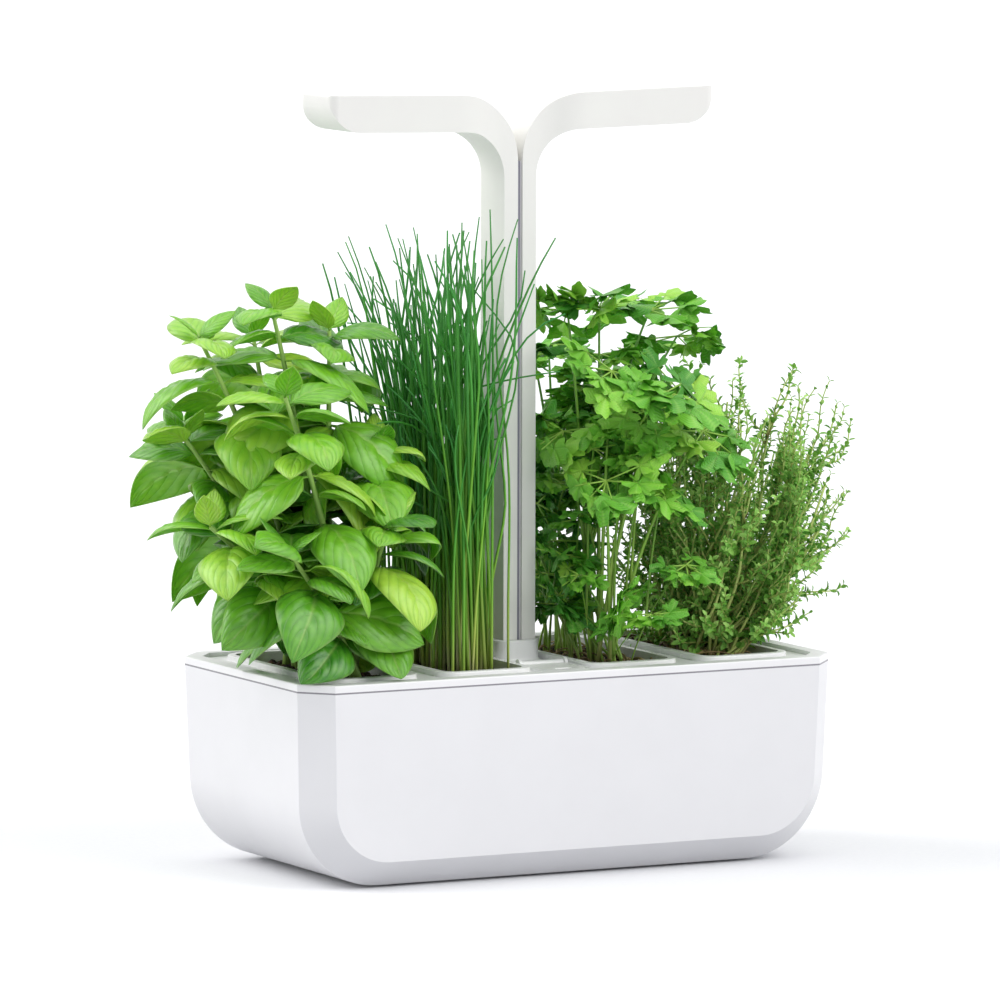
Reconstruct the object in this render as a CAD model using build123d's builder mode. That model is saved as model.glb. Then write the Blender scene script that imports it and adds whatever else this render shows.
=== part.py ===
from build123d import *
import os
from math import cos, radians, sin, sqrt, tan

os.makedirs("parts", exist_ok=True)

# %% Driving dimensions, in millimetres and degrees
# X runs along the planter, the front looks along -Y and Z points up from the table.

# Fits and common sizes
overrun = 1.0
seat_gap = 0.3
slide_gap = 0.45
pot_gap = 0.6
running_gap = 0.05

# Tub
tub_length = 330.0
tub_depth = 174.7
parting_height = 110.5
foot_gap = 1.5
draft = 1.8
lower_corner_radius = 48.0
bevel_on_front = 14.8
bevel_on_side = 16.6
tub_wall = 2.6
tub_floor = 3.0
foot_radius = 7.0
foot_sink = 1.0
foot_inset_x = 62.0
foot_inset_y = 36.0

# Deck
lip_height = 4.5
lip_width = 9.0
lip_round = 0.9
deck_plate = 2.3
skirt_height = 6.0
skirt_wall = 1.8
opening_wall = 1.6
opening_wall_height = 8.0
cross_rib = 1.8

# Pots
pot_pitch = 70.0
pot_first = 45.5
pot_top_width = 52.0
pot_top_length = 130.0
pot_corner = 9.0
pot_depth = 67.0
pot_taper = 3.0
pot_wall = 1.5
pot_rim_width = 3.0
pot_rim_height = 3.0
soil_below_rim = 7.0
wick_width = 12.0
wick_thickness = 2.4
wick_above_floor = 4.0
wick_in_soil = 16.0
drain_length = 30.0
drain_width = 3.0

# Mast and lamp arms
groove_width = 3.0
mast_half_width = 9.9
mast_depth = 28.4
mast_bottom = 96.0
arm_top = 427.0
arm_thickness = 20.2
arm_tilt = 1.26
arm_reach = 119.0
arm_depth = 39.2
arm_flare_reach = 40.0
elbow_outer_radius = 36.5
elbow_inner_radius = 25.8
tip_radius = 18.0
tip_top_radius = 1.2
tip_corner = 5.0
spine_inset = 1.4
spine_below_arm_top = 36.5

# Light strip under each arm
light_centre = 68.0
light_length = 58.0
light_width = 30.0
light_recess = 9.0
light_corner = 4.0
diffuser_thickness = 2.0
board_thickness = 1.6
board_margin = 2.0
led_size = 3.6
led_height = 1.4
led_columns = 6
led_rows = 3
led_pitch_x = 8.6
led_pitch_y = 8.6

# Mast foot and its guide
foot_block_height = 10.0
foot_block_inset = 0.4
friction_pad_size = 7.0
friction_pad_gap = 0.1
friction_pad_sink = 0.8
collar_height = 11.8
collar_width = 26.0
collar_depth = 36.0
collar_corner = 8.0
collar_foot_round = 2.0
sleeve_wall = 2.2
sleeve_above_floor = 3.5
sleeve_flange = 2.5
sleeve_flange_depth = 50.0
sleeve_pad_height = 6.0
sleeve_pad_depth = 8.0
sleeve_screw_y = 21.0
sleeve_screw_x = 6.0
screw_radius = 1.5
screw_head_radius = 2.7
screw_head_height = 1.8
sleeve_screw_length = 6.5
arm_screw_above_bottom = 8.0
arm_screw_spacing = 14.0
lead_width = 8.0
lead_thickness = 1.2
lead_folds = 7
lead_reach = 8.0
lead_bend = 1.0
supply_lead_drop = 13.5
supply_bend = 3.0

# Fill port and its flap
port_pad_width = 30.0
port_pad_front = 74.0
port_pad_back = 38.0
port_pad_height = 1.6
port_corner = 4.0
port_width = 20.0
port_length = 22.0
flap_width = 26.0
flap_length = 30.0
flap_thickness = 1.8
hinge_back_margin = 3.0
hinge_radius = 1.6
pin_radius = 0.8
cheek_height = 2.8

# Water level float
float_y = 30.0
float_stem_radius = 2.6
float_guide_radius = 4.0
float_guide_height = 20.0
float_ring_height = 1.0
float_block_x = 22.0
float_block_y = 24.0
float_block_height = 14.0
float_round = 2.0

# Timer console at the rear
console_length = 68.0
console_height = 26.5
console_wall = 1.8
console_front = 69.8
spigot_length = 44.0
spigot_drop = 22.0
spigot_corner = 3.0
spigot_inset = 1.0
console_cover_thickness = 1.6
circuit_length = 52.0
circuit_height = 19.0
circuit_thickness = 1.6
inlet_x = 9.0
inlet_radius = 4.5
inlet_bore_radius = 2.8
inlet_pin_radius = 1.0
inlet_bore_depth = 9.0
inlet_body_width = 10.0
inlet_body_height = 9.0
inlet_sink = 0.4
button_x = 9.0
button_radius = 4.2
button_proud = 0.8
button_flange = 1.1
button_flange_thickness = 1.2
button_travel = 0.9
button_stem_radius = 2.0
switch_size = 6.0
switch_height = 3.4
switch_plunger_radius = 1.6
switch_plunger_height = 1.2
post_radius = 2.5
post_x = 29.0
console_screw_radius = 1.0
console_screw_head = 1.9
console_screw_length = 8.0

# Herbs
leaf_thickness = 0.8
leaf_clearance = 1.2
herb_reach = 223.0
herb_depth = 99.0
herb_foot_reach = 52.0
herb_front_line = 64.0
herb_mast_gap = 2.8
basil_edge = -84.0
basil_front_edge = -32.0
basil_height = 204.0
basil_reach = 120.0
basil_spread = 62.0
basil_leaf = 56.0
basil_stem_radius = 2.2
basil_turn = 40.0
chives_front_edge = 24.0
chive_length = 262.0
chive_width = 2.2
chive_pitch = 2.6
flap_swing_x = 17.0
flap_swing_top = 152.0
thyme_low_edge = 86.0
thyme_high_edge = 122.0
thyme_step_height = 205.0
parsley_height = 206.0
parsley_reach = 84.0
parsley_spread = 78.0
parsley_leaf = 34.0
parsley_stalk_radius = 1.5
thyme_length = 158.0
thyme_droop = 0.25
thyme_leaf = 4.4
thyme_stem_width = 1.4
thyme_foot_shift = 6.0

# %% Heights and places that follow

tub_bottom = foot_gap
floor_top = tub_bottom + tub_floor
deck_top = parting_height + deck_plate
slope = tan(radians(draft))


def half_depth_at(height):
    """Half of the tub's outer depth at a height, where the front and back faces lean in."""
    return tub_depth / 2 - (parting_height - height) * slope


pot_places = {
    "basil": -pot_first - pot_pitch,
    "chives": -pot_first,
    "parsley": pot_first,
    "thyme": pot_first + pot_pitch,
}
rim_width = pot_top_width + 2 * pot_rim_width
rim_length = pot_top_length + 2 * pot_rim_width
rim_corner = pot_corner + pot_rim_width
rim_top = deck_top + pot_rim_height
pot_bottom = deck_top - pot_depth
soil_top = rim_top - soil_below_rim
opening_width = pot_top_width + 2 * pot_gap
opening_length = pot_top_length + 2 * pot_gap
opening_corner = pot_corner + pot_gap

sleeve_bore_x = 2 * (mast_half_width + slide_gap)
sleeve_bore_y = mast_depth + 2 * slide_gap
sleeve_bottom = floor_top + sleeve_above_floor
sleeve_flange_top = parting_height - sleeve_pad_height
foot_block_bottom = mast_bottom - foot_block_height


# %% Reservoir tub
# The side view is a plain trapezoid and the front view a deep U, so the solid is the overlap of
# two prisms, with one flat bevel run round the U at the front and at the back.
def tub_form(length, depth, bottom, top, corner, on_front, on_side):
    """Closed solid of the tub's shape between two heights, drafted on all four sides."""
    lean = (top - bottom) * slope
    with BuildPart() as form:
        with BuildSketch(Plane.XZ) as front_view:
            with BuildLine():
                Polyline(
                    (-length / 2, top),
                    (-length / 2 + lean, bottom),
                    (length / 2 - lean, bottom),
                    (length / 2, top),
                    close=True,
                )
            make_face()
            fillet(front_view.vertices().group_by(Axis.Y)[0], radius=corner)
        extrude(amount=depth, both=True)
        with BuildSketch(Plane.YZ):
            with BuildLine():
                Polyline(
                    (-depth / 2, top),
                    (-depth / 2 + lean, bottom),
                    (depth / 2 - lean, bottom),
                    (depth / 2, top),
                    close=True,
                )
            make_face()
        extrude(amount=length, both=True, mode=Mode.INTERSECT)
        for end in (0, -1):
            face = form.faces().sort_by(Axis.Y)[end]
            outline = face.edges().sort_by(Axis.Z)[:-1]
            chamfer(outline, length=on_front, length2=on_side, reference=face)
    return form.part


bevel_shrink = tub_wall * (2 - sqrt(2))
tub_outside = tub_form(
    tub_length, tub_depth, tub_bottom, parting_height, lower_corner_radius, bevel_on_front, bevel_on_side
)
cavity_corner = lower_corner_radius - tub_wall
tub_cavity = tub_form(
    tub_length - 2 * tub_wall,
    tub_depth - 2 * tub_wall,
    floor_top,
    parting_height,
    cavity_corner,
    bevel_on_front - bevel_shrink,
    bevel_on_side - bevel_shrink,
)
foot_places = GridLocations(tub_length - 2 * foot_inset_x, tub_depth - 2 * foot_inset_y, 2, 2)
notch_bottom = parting_height - spigot_drop - seat_gap
with BuildPart() as reservoir_tub:
    add(tub_outside)
    add(tub_cavity, mode=Mode.SUBTRACT)
    # Shallow seats for the feet
    with BuildSketch(Plane.XY.offset(tub_bottom)):
        with foot_places:
            Circle(foot_radius + running_gap)
    extrude(amount=foot_sink, mode=Mode.SUBTRACT)
    # Notch in the rear wall that the console drops into
    with BuildSketch(Plane.XZ.offset(-half_depth_at(notch_bottom) + tub_wall + overrun)) as notch:
        with Locations((0, (notch_bottom + parting_height + overrun) / 2)):
            Rectangle(spigot_length + 2 * seat_gap, parting_height + overrun - notch_bottom)
        fillet(notch.vertices().group_by(Axis.Y)[0], radius=spigot_corner)
    extrude(amount=-(2 * tub_wall + 2 * overrun), mode=Mode.SUBTRACT)
reservoir_tub.part.label = "reservoir_tub"
export_step(reservoir_tub.part, "parts/reservoir_tub.step")

with BuildPart() as foot_pads:
    with BuildSketch():
        with foot_places:
            Circle(foot_radius)
    extrude(amount=foot_gap + foot_sink)
foot_pads.part.label = "foot_pads"
export_step(foot_pads.part, "parts/foot_pads.step")


# %% Grow deck
# The plate lies on the tub's rim, with a lip round its edge, a skirt that centres it in the tub,
# a guide wall round each pot opening and the moulded-in collar, port pad and console box.
def bevelled_plan(inset, height):
    """Rectangle of the tub's rim with its corners cut, drawn an even distance inside the edge."""
    half_x = tub_length / 2 - inset
    half_y = tub_depth / 2 - inset
    cut_x = bevel_on_front - inset * (2 - sqrt(2))
    cut_y = bevel_on_side - inset * (2 - sqrt(2))
    with BuildSketch(Plane.XY.offset(height)) as plan:
        with BuildLine():
            Polyline(
                (half_x, -half_y + cut_y),
                (half_x, half_y - cut_y),
                (half_x - cut_x, half_y),
                (-half_x + cut_x, half_y),
                (-half_x, half_y - cut_y),
                (-half_x, -half_y + cut_y),
                (-half_x + cut_x, -half_y),
                (half_x - cut_x, -half_y),
                close=True,
            )
        make_face()
    return plan.sketch


skirt_inset = tub_wall + skirt_height * slope + seat_gap
console_rear = half_depth_at(parting_height - console_height) - tub_wall - seat_gap
console_bottom = parting_height - console_height
spigot_rear = half_depth_at(parting_height - spigot_drop) - spigot_inset
console_mid_height = parting_height - spigot_drop / 2 - console_wall
cavity_top = parting_height - console_wall
port_middle = -(port_pad_front + port_pad_back) / 2
hinge_y = -port_pad_back - hinge_back_margin
flap_front = hinge_y - flap_length
hinge_height = deck_top + port_pad_height
flap_bottom = hinge_height - flap_thickness
pilot_radius = screw_radius - running_gap
cheek_x = flap_width / 2 + seat_gap
with BuildPart() as grow_deck:
    # Lip ring and plate
    add(bevelled_plan(0, parting_height))
    extrude(amount=lip_height)
    fillet(grow_deck.faces().sort_by(Axis.Z)[-1].edges(), radius=lip_round)
    add(bevelled_plan(lip_width, deck_top))
    extrude(amount=lip_height, mode=Mode.SUBTRACT)
    # Skirt inside the tub's rim
    add(bevelled_plan(skirt_inset, parting_height - skirt_height))
    extrude(amount=skirt_height)
    add(bevelled_plan(skirt_inset + skirt_wall, parting_height - skirt_height))
    extrude(amount=skirt_height, mode=Mode.SUBTRACT)
    # Guide walls of the pot openings, joined by cross ribs
    with BuildSketch(Plane.XY.offset(parting_height - opening_wall_height)):
        with Locations(*[(x, 0) for x in pot_places.values()]):
            RectangleRounded(
                opening_width + 2 * opening_wall,
                opening_length + 2 * opening_wall,
                opening_corner + opening_wall,
            )
    extrude(amount=opening_wall_height)
    rib_reach = tub_length / 2 - skirt_inset - skirt_wall / 2
    with BuildSketch(Plane.XY.offset(parting_height - skirt_height)):
        with Locations((0, opening_length / 4), (0, -opening_length / 4)):
            Rectangle(2 * rib_reach, cross_rib)
    extrude(amount=skirt_height)
    # Collar that the mast slides in
    with BuildSketch(Plane.XY.offset(deck_top)):
        RectangleRounded(collar_width, collar_depth, collar_corner)
    extrude(amount=collar_height)
    fillet(grow_deck.faces().sort_by(Axis.Z)[-1].edges(), radius=lip_round)
    on_plate = grow_deck.edges().filter_by_position(Axis.Z, deck_top, deck_top)
    near_mast = on_plate.filter_by_position(Axis.X, -collar_width / 2, collar_width / 2)
    fillet(near_mast.filter_by_position(Axis.Y, -collar_depth / 2, collar_depth / 2), radius=collar_foot_round)
    # Raised pad of the fill port, with a cheek on each side of the flap's barrel
    with BuildSketch(Plane.XY.offset(deck_top)):
        with Locations((0, port_middle)):
            RectangleRounded(port_pad_width, port_pad_front - port_pad_back, port_corner)
    extrude(amount=port_pad_height)
    with BuildSketch(Plane.YZ):
        with BuildLine():
            Polyline(
                (hinge_y - cheek_height, deck_top),
                (hinge_y + cheek_height, deck_top),
                (hinge_y + cheek_height, hinge_height),
                (hinge_y - cheek_height, hinge_height),
                close=True,
            )
        make_face()
        with Locations((hinge_y, hinge_height)):
            Circle(cheek_height)
    extrude(amount=port_pad_width / 2, both=True)
    # Ring and guide tube of the float's stem
    with BuildSketch(Plane.XY.offset(parting_height - float_guide_height)):
        with Locations((0, -float_y)):
            Circle(float_guide_radius)
    extrude(amount=float_guide_height + deck_plate + float_ring_height)
    # Pads that carry the mast sleeve
    with BuildSketch(Plane.XY.offset(sleeve_flange_top)):
        with Locations((0, sleeve_screw_y), (0, -sleeve_screw_y)):
            Rectangle(sleeve_bore_x + 2 * sleeve_wall, sleeve_pad_depth)
    extrude(amount=sleeve_pad_height)
    # Console box behind the pots and the spigot that fills the tub's notch
    with BuildSketch(Plane.XY.offset(console_bottom)):
        with Locations((0, (console_front + console_rear) / 2)):
            Rectangle(console_length, console_rear - console_front)
    extrude(amount=console_height)
    with BuildSketch(Plane.XZ.offset(-console_rear)) as spigot:
        with Locations((0, parting_height - spigot_drop / 2)):
            Rectangle(spigot_length, spigot_drop)
        fillet(spigot.vertices().group_by(Axis.Y)[0], radius=spigot_corner - seat_gap)
    extrude(amount=-(spigot_rear - console_rear))
    # Everything below is cut away: the pot openings first
    with BuildSketch(Plane.XY.offset(parting_height - opening_wall_height)):
        with Locations(*[(x, 0) for x in pot_places.values()]):
            RectangleRounded(opening_width, opening_length, opening_corner)
    extrude(amount=opening_wall_height + deck_plate, mode=Mode.SUBTRACT)
    # Way through the collar for the mast
    with BuildSketch(Plane.XY.offset(parting_height)):
        Rectangle(sleeve_bore_x, sleeve_bore_y)
    extrude(amount=collar_height + deck_plate, mode=Mode.SUBTRACT)
    # Fill port: a through hole, the flap's pocket above it and the room for the barrel
    with BuildSketch(Plane.XY.offset(parting_height)):
        with Locations((0, port_middle)):
            RectangleRounded(port_width, port_length, port_corner)
    extrude(amount=deck_plate + port_pad_height, mode=Mode.SUBTRACT)
    with BuildSketch(Plane.XY.offset(flap_bottom)):
        with Locations((0, (flap_front - seat_gap + hinge_y) / 2)):
            Rectangle(2 * cheek_x, hinge_y - flap_front + seat_gap)
    extrude(amount=flap_thickness + cheek_height, mode=Mode.SUBTRACT)
    with BuildSketch(Plane.YZ):
        with Locations((hinge_y, hinge_height)):
            Circle(hinge_radius + seat_gap)
        with Locations((hinge_y, hinge_height + cheek_height)):
            Rectangle(2 * cheek_height, 2 * cheek_height)
    extrude(amount=cheek_x, both=True, mode=Mode.SUBTRACT)
    with BuildSketch(Plane.YZ):
        with Locations((hinge_y, hinge_height)):
            Circle(pin_radius + running_gap)
    extrude(amount=port_pad_width / 2, both=True, mode=Mode.SUBTRACT)
    # Bore of the float guide
    with BuildSketch(Plane.XY.offset(parting_height - float_guide_height)):
        with Locations((0, -float_y)):
            Circle(float_stem_radius + seat_gap)
    extrude(amount=float_guide_height + deck_plate + float_ring_height, mode=Mode.SUBTRACT)
    # Pilot holes of the sleeve screws
    with BuildSketch(Plane.XY.offset(sleeve_flange_top)):
        with GridLocations(2 * sleeve_screw_x, 2 * sleeve_screw_y, 2, 2):
            Circle(pilot_radius)
    extrude(amount=sleeve_screw_length - sleeve_flange + seat_gap, mode=Mode.SUBTRACT)
    # Hollow of the console, open towards the pots, with a post left for each cover screw
    with BuildSketch(Plane.XZ.offset(-console_front)):
        with Locations((0, (console_bottom + cavity_top + console_wall) / 2)):
            Rectangle(console_length - 2 * console_wall, cavity_top - console_bottom - console_wall)
        with Locations((post_x, console_mid_height), (-post_x, console_mid_height)):
            Circle(post_radius, mode=Mode.SUBTRACT)
    extrude(amount=-(console_rear - console_wall - console_front), mode=Mode.SUBTRACT)
    with BuildSketch(Plane.XZ.offset(-console_front)):
        with Locations((post_x, console_mid_height), (-post_x, console_mid_height)):
            Circle(console_screw_radius - running_gap)
    extrude(amount=-console_screw_length, mode=Mode.SUBTRACT)
    # Holes for the inlet and the button
    with BuildSketch(Plane.XZ.offset(-console_front)):
        with Locations((-inlet_x, console_mid_height)):
            Circle(inlet_radius + running_gap)
        with Locations((button_x, console_mid_height)):
            Circle(button_radius + seat_gap)
    extrude(amount=-(spigot_rear - console_front), mode=Mode.SUBTRACT)
grow_deck.part.label = "grow_deck"
export_step(grow_deck.part, "parts/grow_deck.step")


# %% Mast sleeve under the collar
with BuildPart() as mast_sleeve:
    with BuildSketch(Plane.XY.offset(sleeve_bottom)):
        Rectangle(sleeve_bore_x + 2 * sleeve_wall, sleeve_bore_y + 2 * sleeve_wall)
    extrude(amount=parting_height - sleeve_bottom)
    with BuildSketch(Plane.XY.offset(sleeve_flange_top - sleeve_flange)):
        Rectangle(sleeve_bore_x + 2 * sleeve_wall, sleeve_flange_depth)
    extrude(amount=sleeve_flange)
    # The tube stands between the two pads of the deck and ends at the plate
    with BuildSketch(Plane.XY.offset(sleeve_flange_top)):
        with Locations((0, sleeve_screw_y), (0, -sleeve_screw_y)):
            Rectangle(sleeve_bore_x + 2 * sleeve_wall, sleeve_pad_depth + 2 * seat_gap)
    extrude(amount=sleeve_pad_height, mode=Mode.SUBTRACT)
    with BuildSketch(Plane.XY.offset(sleeve_bottom)):
        Rectangle(sleeve_bore_x, sleeve_bore_y)
    extrude(amount=parting_height - sleeve_bottom, mode=Mode.SUBTRACT)
    with BuildSketch(Plane.XY.offset(sleeve_flange_top - sleeve_flange)):
        with GridLocations(2 * sleeve_screw_x, 2 * sleeve_screw_y, 2, 2):
            Circle(screw_radius + running_gap)
    extrude(amount=sleeve_flange, mode=Mode.SUBTRACT)
    # Slot where the ribbon lead comes out at the back
    slot_height = lead_thickness + 2 * seat_gap
    with BuildSketch(Plane.XZ):
        with Locations((0, sleeve_bottom + slot_height / 2 + lead_bend)):
            Rectangle(lead_width + 2 * seat_gap, slot_height)
    extrude(amount=-sleeve_bore_y, mode=Mode.SUBTRACT)
mast_sleeve.part.label = "mast_sleeve"
export_step(mast_sleeve.part, "parts/mast_sleeve.step")

with BuildPart() as sleeve_screws:
    with BuildSketch(Plane.XY.offset(sleeve_flange_top - sleeve_flange)):
        with GridLocations(2 * sleeve_screw_x, 2 * sleeve_screw_y, 2, 2):
            Circle(screw_head_radius)
    extrude(amount=-screw_head_height)
    with BuildSketch(Plane.XY.offset(sleeve_flange_top - sleeve_flange)):
        with GridLocations(2 * sleeve_screw_x, 2 * sleeve_screw_y, 2, 2):
            Circle(pilot_radius)
    extrude(amount=sleeve_screw_length)
sleeve_screws.part.label = "sleeve_screws"
export_step(sleeve_screws.part, "parts/sleeve_screws.step")


# %% Mast and lamp arms
# One shell is a bent ribbon: straight and narrow where it slides in the collar, then an elbow
# that widens into a tapered arm. The left shell is its mirror image.
tilt = tan(radians(arm_tilt))
mast_inner = groove_width / 2
mast_half_depth = mast_depth / 2
arm_half_depth = arm_depth / 2
arm_underside = arm_top - arm_thickness
arm_screw_height = mast_bottom + arm_screw_above_bottom
arm_screw_places = [(arm_screw_spacing / 2, arm_screw_height), (-arm_screw_spacing / 2, arm_screw_height)]
screw_head_floor = mast_half_width - screw_head_height
# The light strip's sketches lie on the arm's tilted underside and look up into it
strip_plane = Plane(
    origin=(light_centre, 0, arm_underside + light_centre * tilt),
    x_dir=(cos(radians(arm_tilt)), 0, sin(radians(arm_tilt))),
    z_dir=(-sin(radians(arm_tilt)), 0, cos(radians(arm_tilt))),
)
with BuildPart() as right_arm_shell:
    with BuildSketch(Plane.XZ) as ribbon:
        with BuildLine():
            Polyline(
                (mast_inner, mast_bottom),
                (mast_half_width, mast_bottom),
                (mast_half_width, arm_underside + mast_half_width * tilt),
                (arm_reach, arm_underside + arm_reach * tilt),
                (arm_reach, arm_top + arm_reach * tilt),
                (mast_inner, arm_top + mast_inner * tilt),
                close=True,
            )
        make_face()
        fillet(ribbon.vertices().sort_by(Axis.X)[-2:].sort_by(Axis.Y)[0], radius=tip_radius)
        fillet(ribbon.vertices().sort_by(Axis.Y)[-1], radius=tip_top_radius)
        fillet(ribbon.vertices().sort_by_distance((mast_inner, arm_top))[0], radius=elbow_outer_radius)
        fillet(ribbon.vertices().sort_by_distance((mast_half_width, arm_underside))[0], radius=elbow_inner_radius)
    extrude(amount=arm_half_depth, both=True)
    # Plan view: a waist at the mast that opens to the arm's full depth in two tangent arcs
    flare_middle = (mast_half_width + arm_flare_reach) / 2
    waist_middle = (mast_half_depth + arm_half_depth) / 2
    with BuildSketch(Plane.XY.offset(mast_bottom)) as waist:
        with BuildLine():
            Line((0, 0), (0, mast_half_depth))
            Line((0, mast_half_depth), (mast_half_width, mast_half_depth))
            bend = TangentArc((mast_half_width, mast_half_depth), (flare_middle, waist_middle), tangent=(1, 0))
            TangentArc(bend @ 1, (arm_flare_reach, arm_half_depth), tangent=bend % 1)
            Line((arm_flare_reach, arm_half_depth), (arm_reach, arm_half_depth))
            Line((arm_reach, arm_half_depth), (arm_reach, 0))
            Line((arm_reach, 0), (0, 0))
        make_face()
        mirror(about=Plane.XZ)
        fillet(waist.vertices().group_by(Axis.X)[-1], radius=tip_corner)
    extrude(amount=arm_top, mode=Mode.INTERSECT)
    # Recess of the light strip
    with BuildSketch(strip_plane):
        RectangleRounded(light_length, light_width, light_corner)
    extrude(amount=light_recess, mode=Mode.SUBTRACT)
    # Holes of the two clamp screws near the foot, with the ends sunk in each shell
    with BuildSketch(Plane.YZ):
        with Locations(*arm_screw_places):
            Circle(screw_radius + running_gap)
    extrude(amount=mast_half_width, mode=Mode.SUBTRACT)
    with BuildSketch(Plane.YZ.offset(screw_head_floor)):
        with Locations(*arm_screw_places):
            Circle(screw_head_radius + seat_gap)
    extrude(amount=screw_head_height, mode=Mode.SUBTRACT)
right_arm_shell.part.label = "right_arm_shell"
export_step(right_arm_shell.part, "parts/right_arm_shell.step")

with BuildPart() as left_arm_shell:
    mirror(right_arm_shell.part, about=Plane.YZ)
left_arm_shell.part.label = "left_arm_shell"
export_step(left_arm_shell.part, "parts/left_arm_shell.step")

with BuildPart() as right_diffuser:
    with BuildSketch(strip_plane):
        RectangleRounded(light_length - 2 * seat_gap, light_width - 2 * seat_gap, light_corner - seat_gap)
    extrude(amount=diffuser_thickness)
right_diffuser.part.label = "right_diffuser"
export_step(right_diffuser.part, "parts/right_diffuser.step")

with BuildPart() as left_diffuser:
    mirror(right_diffuser.part, about=Plane.YZ)
left_diffuser.part.label = "left_diffuser"
export_step(left_diffuser.part, "parts/left_diffuser.step")

board_plane = strip_plane.offset(light_recess - board_thickness)
with BuildPart() as right_led_board:
    with BuildSketch(board_plane):
        RectangleRounded(
            light_length - 2 * board_margin,
            light_width - 2 * board_margin,
            light_corner - board_margin,
        )
    extrude(amount=board_thickness)
right_led_board.part.label = "right_led_board"
export_step(right_led_board.part, "parts/right_led_board.step")

with BuildPart() as left_led_board:
    mirror(right_led_board.part, about=Plane.YZ)
left_led_board.part.label = "left_led_board"
export_step(left_led_board.part, "parts/left_led_board.step")

with BuildPart() as right_leds:
    with BuildSketch(board_plane):
        with GridLocations(led_pitch_x, led_pitch_y, led_columns, led_rows):
            Rectangle(led_size, led_size)
    extrude(amount=-led_height)
right_leds.part.label = "right_leds"
export_step(right_leds.part, "parts/right_leds.step")

with BuildPart() as left_leds:
    mirror(right_leds.part, about=Plane.YZ)
left_leds.part.label = "left_leds"
export_step(left_leds.part, "parts/left_leds.step")


# %% Spine, clamp screws and foot of the mast
with BuildPart() as mast_spine:
    with BuildSketch(Plane.YZ):
        with Locations((0, (mast_bottom + arm_top - spine_below_arm_top) / 2)):
            Rectangle(mast_depth - 2 * spine_inset, arm_top - spine_below_arm_top - mast_bottom)
        with Locations(*arm_screw_places):
            Circle(screw_radius + running_gap, mode=Mode.SUBTRACT)
    extrude(amount=mast_inner, both=True)
mast_spine.part.label = "mast_spine"
export_step(mast_spine.part, "parts/mast_spine.step")

with BuildPart() as arm_screws:
    with BuildSketch(Plane.YZ):
        with Locations(*arm_screw_places):
            Circle(screw_radius)
    extrude(amount=screw_head_floor, both=True)
    with BuildSketch(Plane.YZ.offset(screw_head_floor)):
        with Locations(*arm_screw_places):
            Circle(screw_head_radius)
    extrude(amount=screw_head_height)
    with BuildSketch(Plane.YZ.offset(-screw_head_floor)):
        with Locations(*arm_screw_places):
            RegularPolygon(screw_head_radius, 6)
    extrude(amount=-screw_head_height)
arm_screws.part.label = "arm_screws"
export_step(arm_screws.part, "parts/arm_screws.step")

foot_half_width = mast_half_width - foot_block_inset
pad_outer = mast_half_width + slide_gap - friction_pad_gap
pad_inner = foot_half_width - friction_pad_sink
foot_middle = mast_bottom - foot_block_height / 2
with BuildPart() as mast_foot:
    with BuildSketch(Plane.XY.offset(foot_block_bottom)):
        Rectangle(2 * foot_half_width, mast_depth - 2 * foot_block_inset)
    extrude(amount=foot_block_height)
    for side in (1, -1):
        with BuildSketch(Plane.YZ.offset(side * pad_inner)):
            with Locations((0, foot_middle)):
                Rectangle(friction_pad_size, friction_pad_size)
        extrude(amount=side * friction_pad_sink, mode=Mode.SUBTRACT)
mast_foot.part.label = "mast_foot"
export_step(mast_foot.part, "parts/mast_foot.step")

with BuildPart() as friction_pads:
    for side in (1, -1):
        with BuildSketch(Plane.YZ.offset(side * pad_inner)):
            with Locations((0, foot_middle)):
                Rectangle(friction_pad_size, friction_pad_size)
        extrude(amount=side * (pad_outer - pad_inner))
friction_pads.part.label = "friction_pads"
export_step(friction_pads.part, "parts/friction_pads.step")


# %% Ribbon leads
# The lamp's lead lies folded in the sleeve and comes out of its slot at the back, where the
# supply lead carries on up the sleeve and back to the console.
slot_middle = sleeve_bottom + slot_height / 2 + lead_bend
sleeve_back = sleeve_bore_y / 2 + sleeve_wall
fold_step = (foot_block_bottom - slot_middle) / (lead_folds + 1)
fold_points = [(lead_reach * (-1) ** (n + 1), slot_middle + fold_step * (n + 1)) for n in range(lead_folds)]
with BuildPart() as lamp_lead:
    with BuildSketch(Plane.YZ):
        with BuildLine():
            FilletPolyline(
                (sleeve_back, slot_middle),
                (lead_reach / 2, slot_middle),
                *fold_points,
                (0, foot_block_bottom - lead_thickness),
                (0, foot_block_bottom),
                radius=lead_bend,
            )
        trace(line_width=lead_thickness)
    extrude(amount=lead_width / 2, both=True)
lamp_lead.part.label = "lamp_lead"
export_step(lamp_lead.part, "parts/lamp_lead.step")

supply_height = parting_height - supply_lead_drop
supply_back = sleeve_back + supply_bend
circuit_front = console_front + seat_gap
with BuildPart() as supply_lead:
    with BuildSketch(Plane.YZ):
        with BuildLine():
            FilletPolyline(
                (sleeve_back, slot_middle),
                (supply_back, slot_middle),
                (supply_back, supply_height),
                (circuit_front, supply_height),
                radius=supply_bend - lead_thickness,
            )
        trace(line_width=lead_thickness)
    extrude(amount=lead_width / 2, both=True)
supply_lead.part.label = "supply_lead"
export_step(supply_lead.part, "parts/supply_lead.step")


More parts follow.
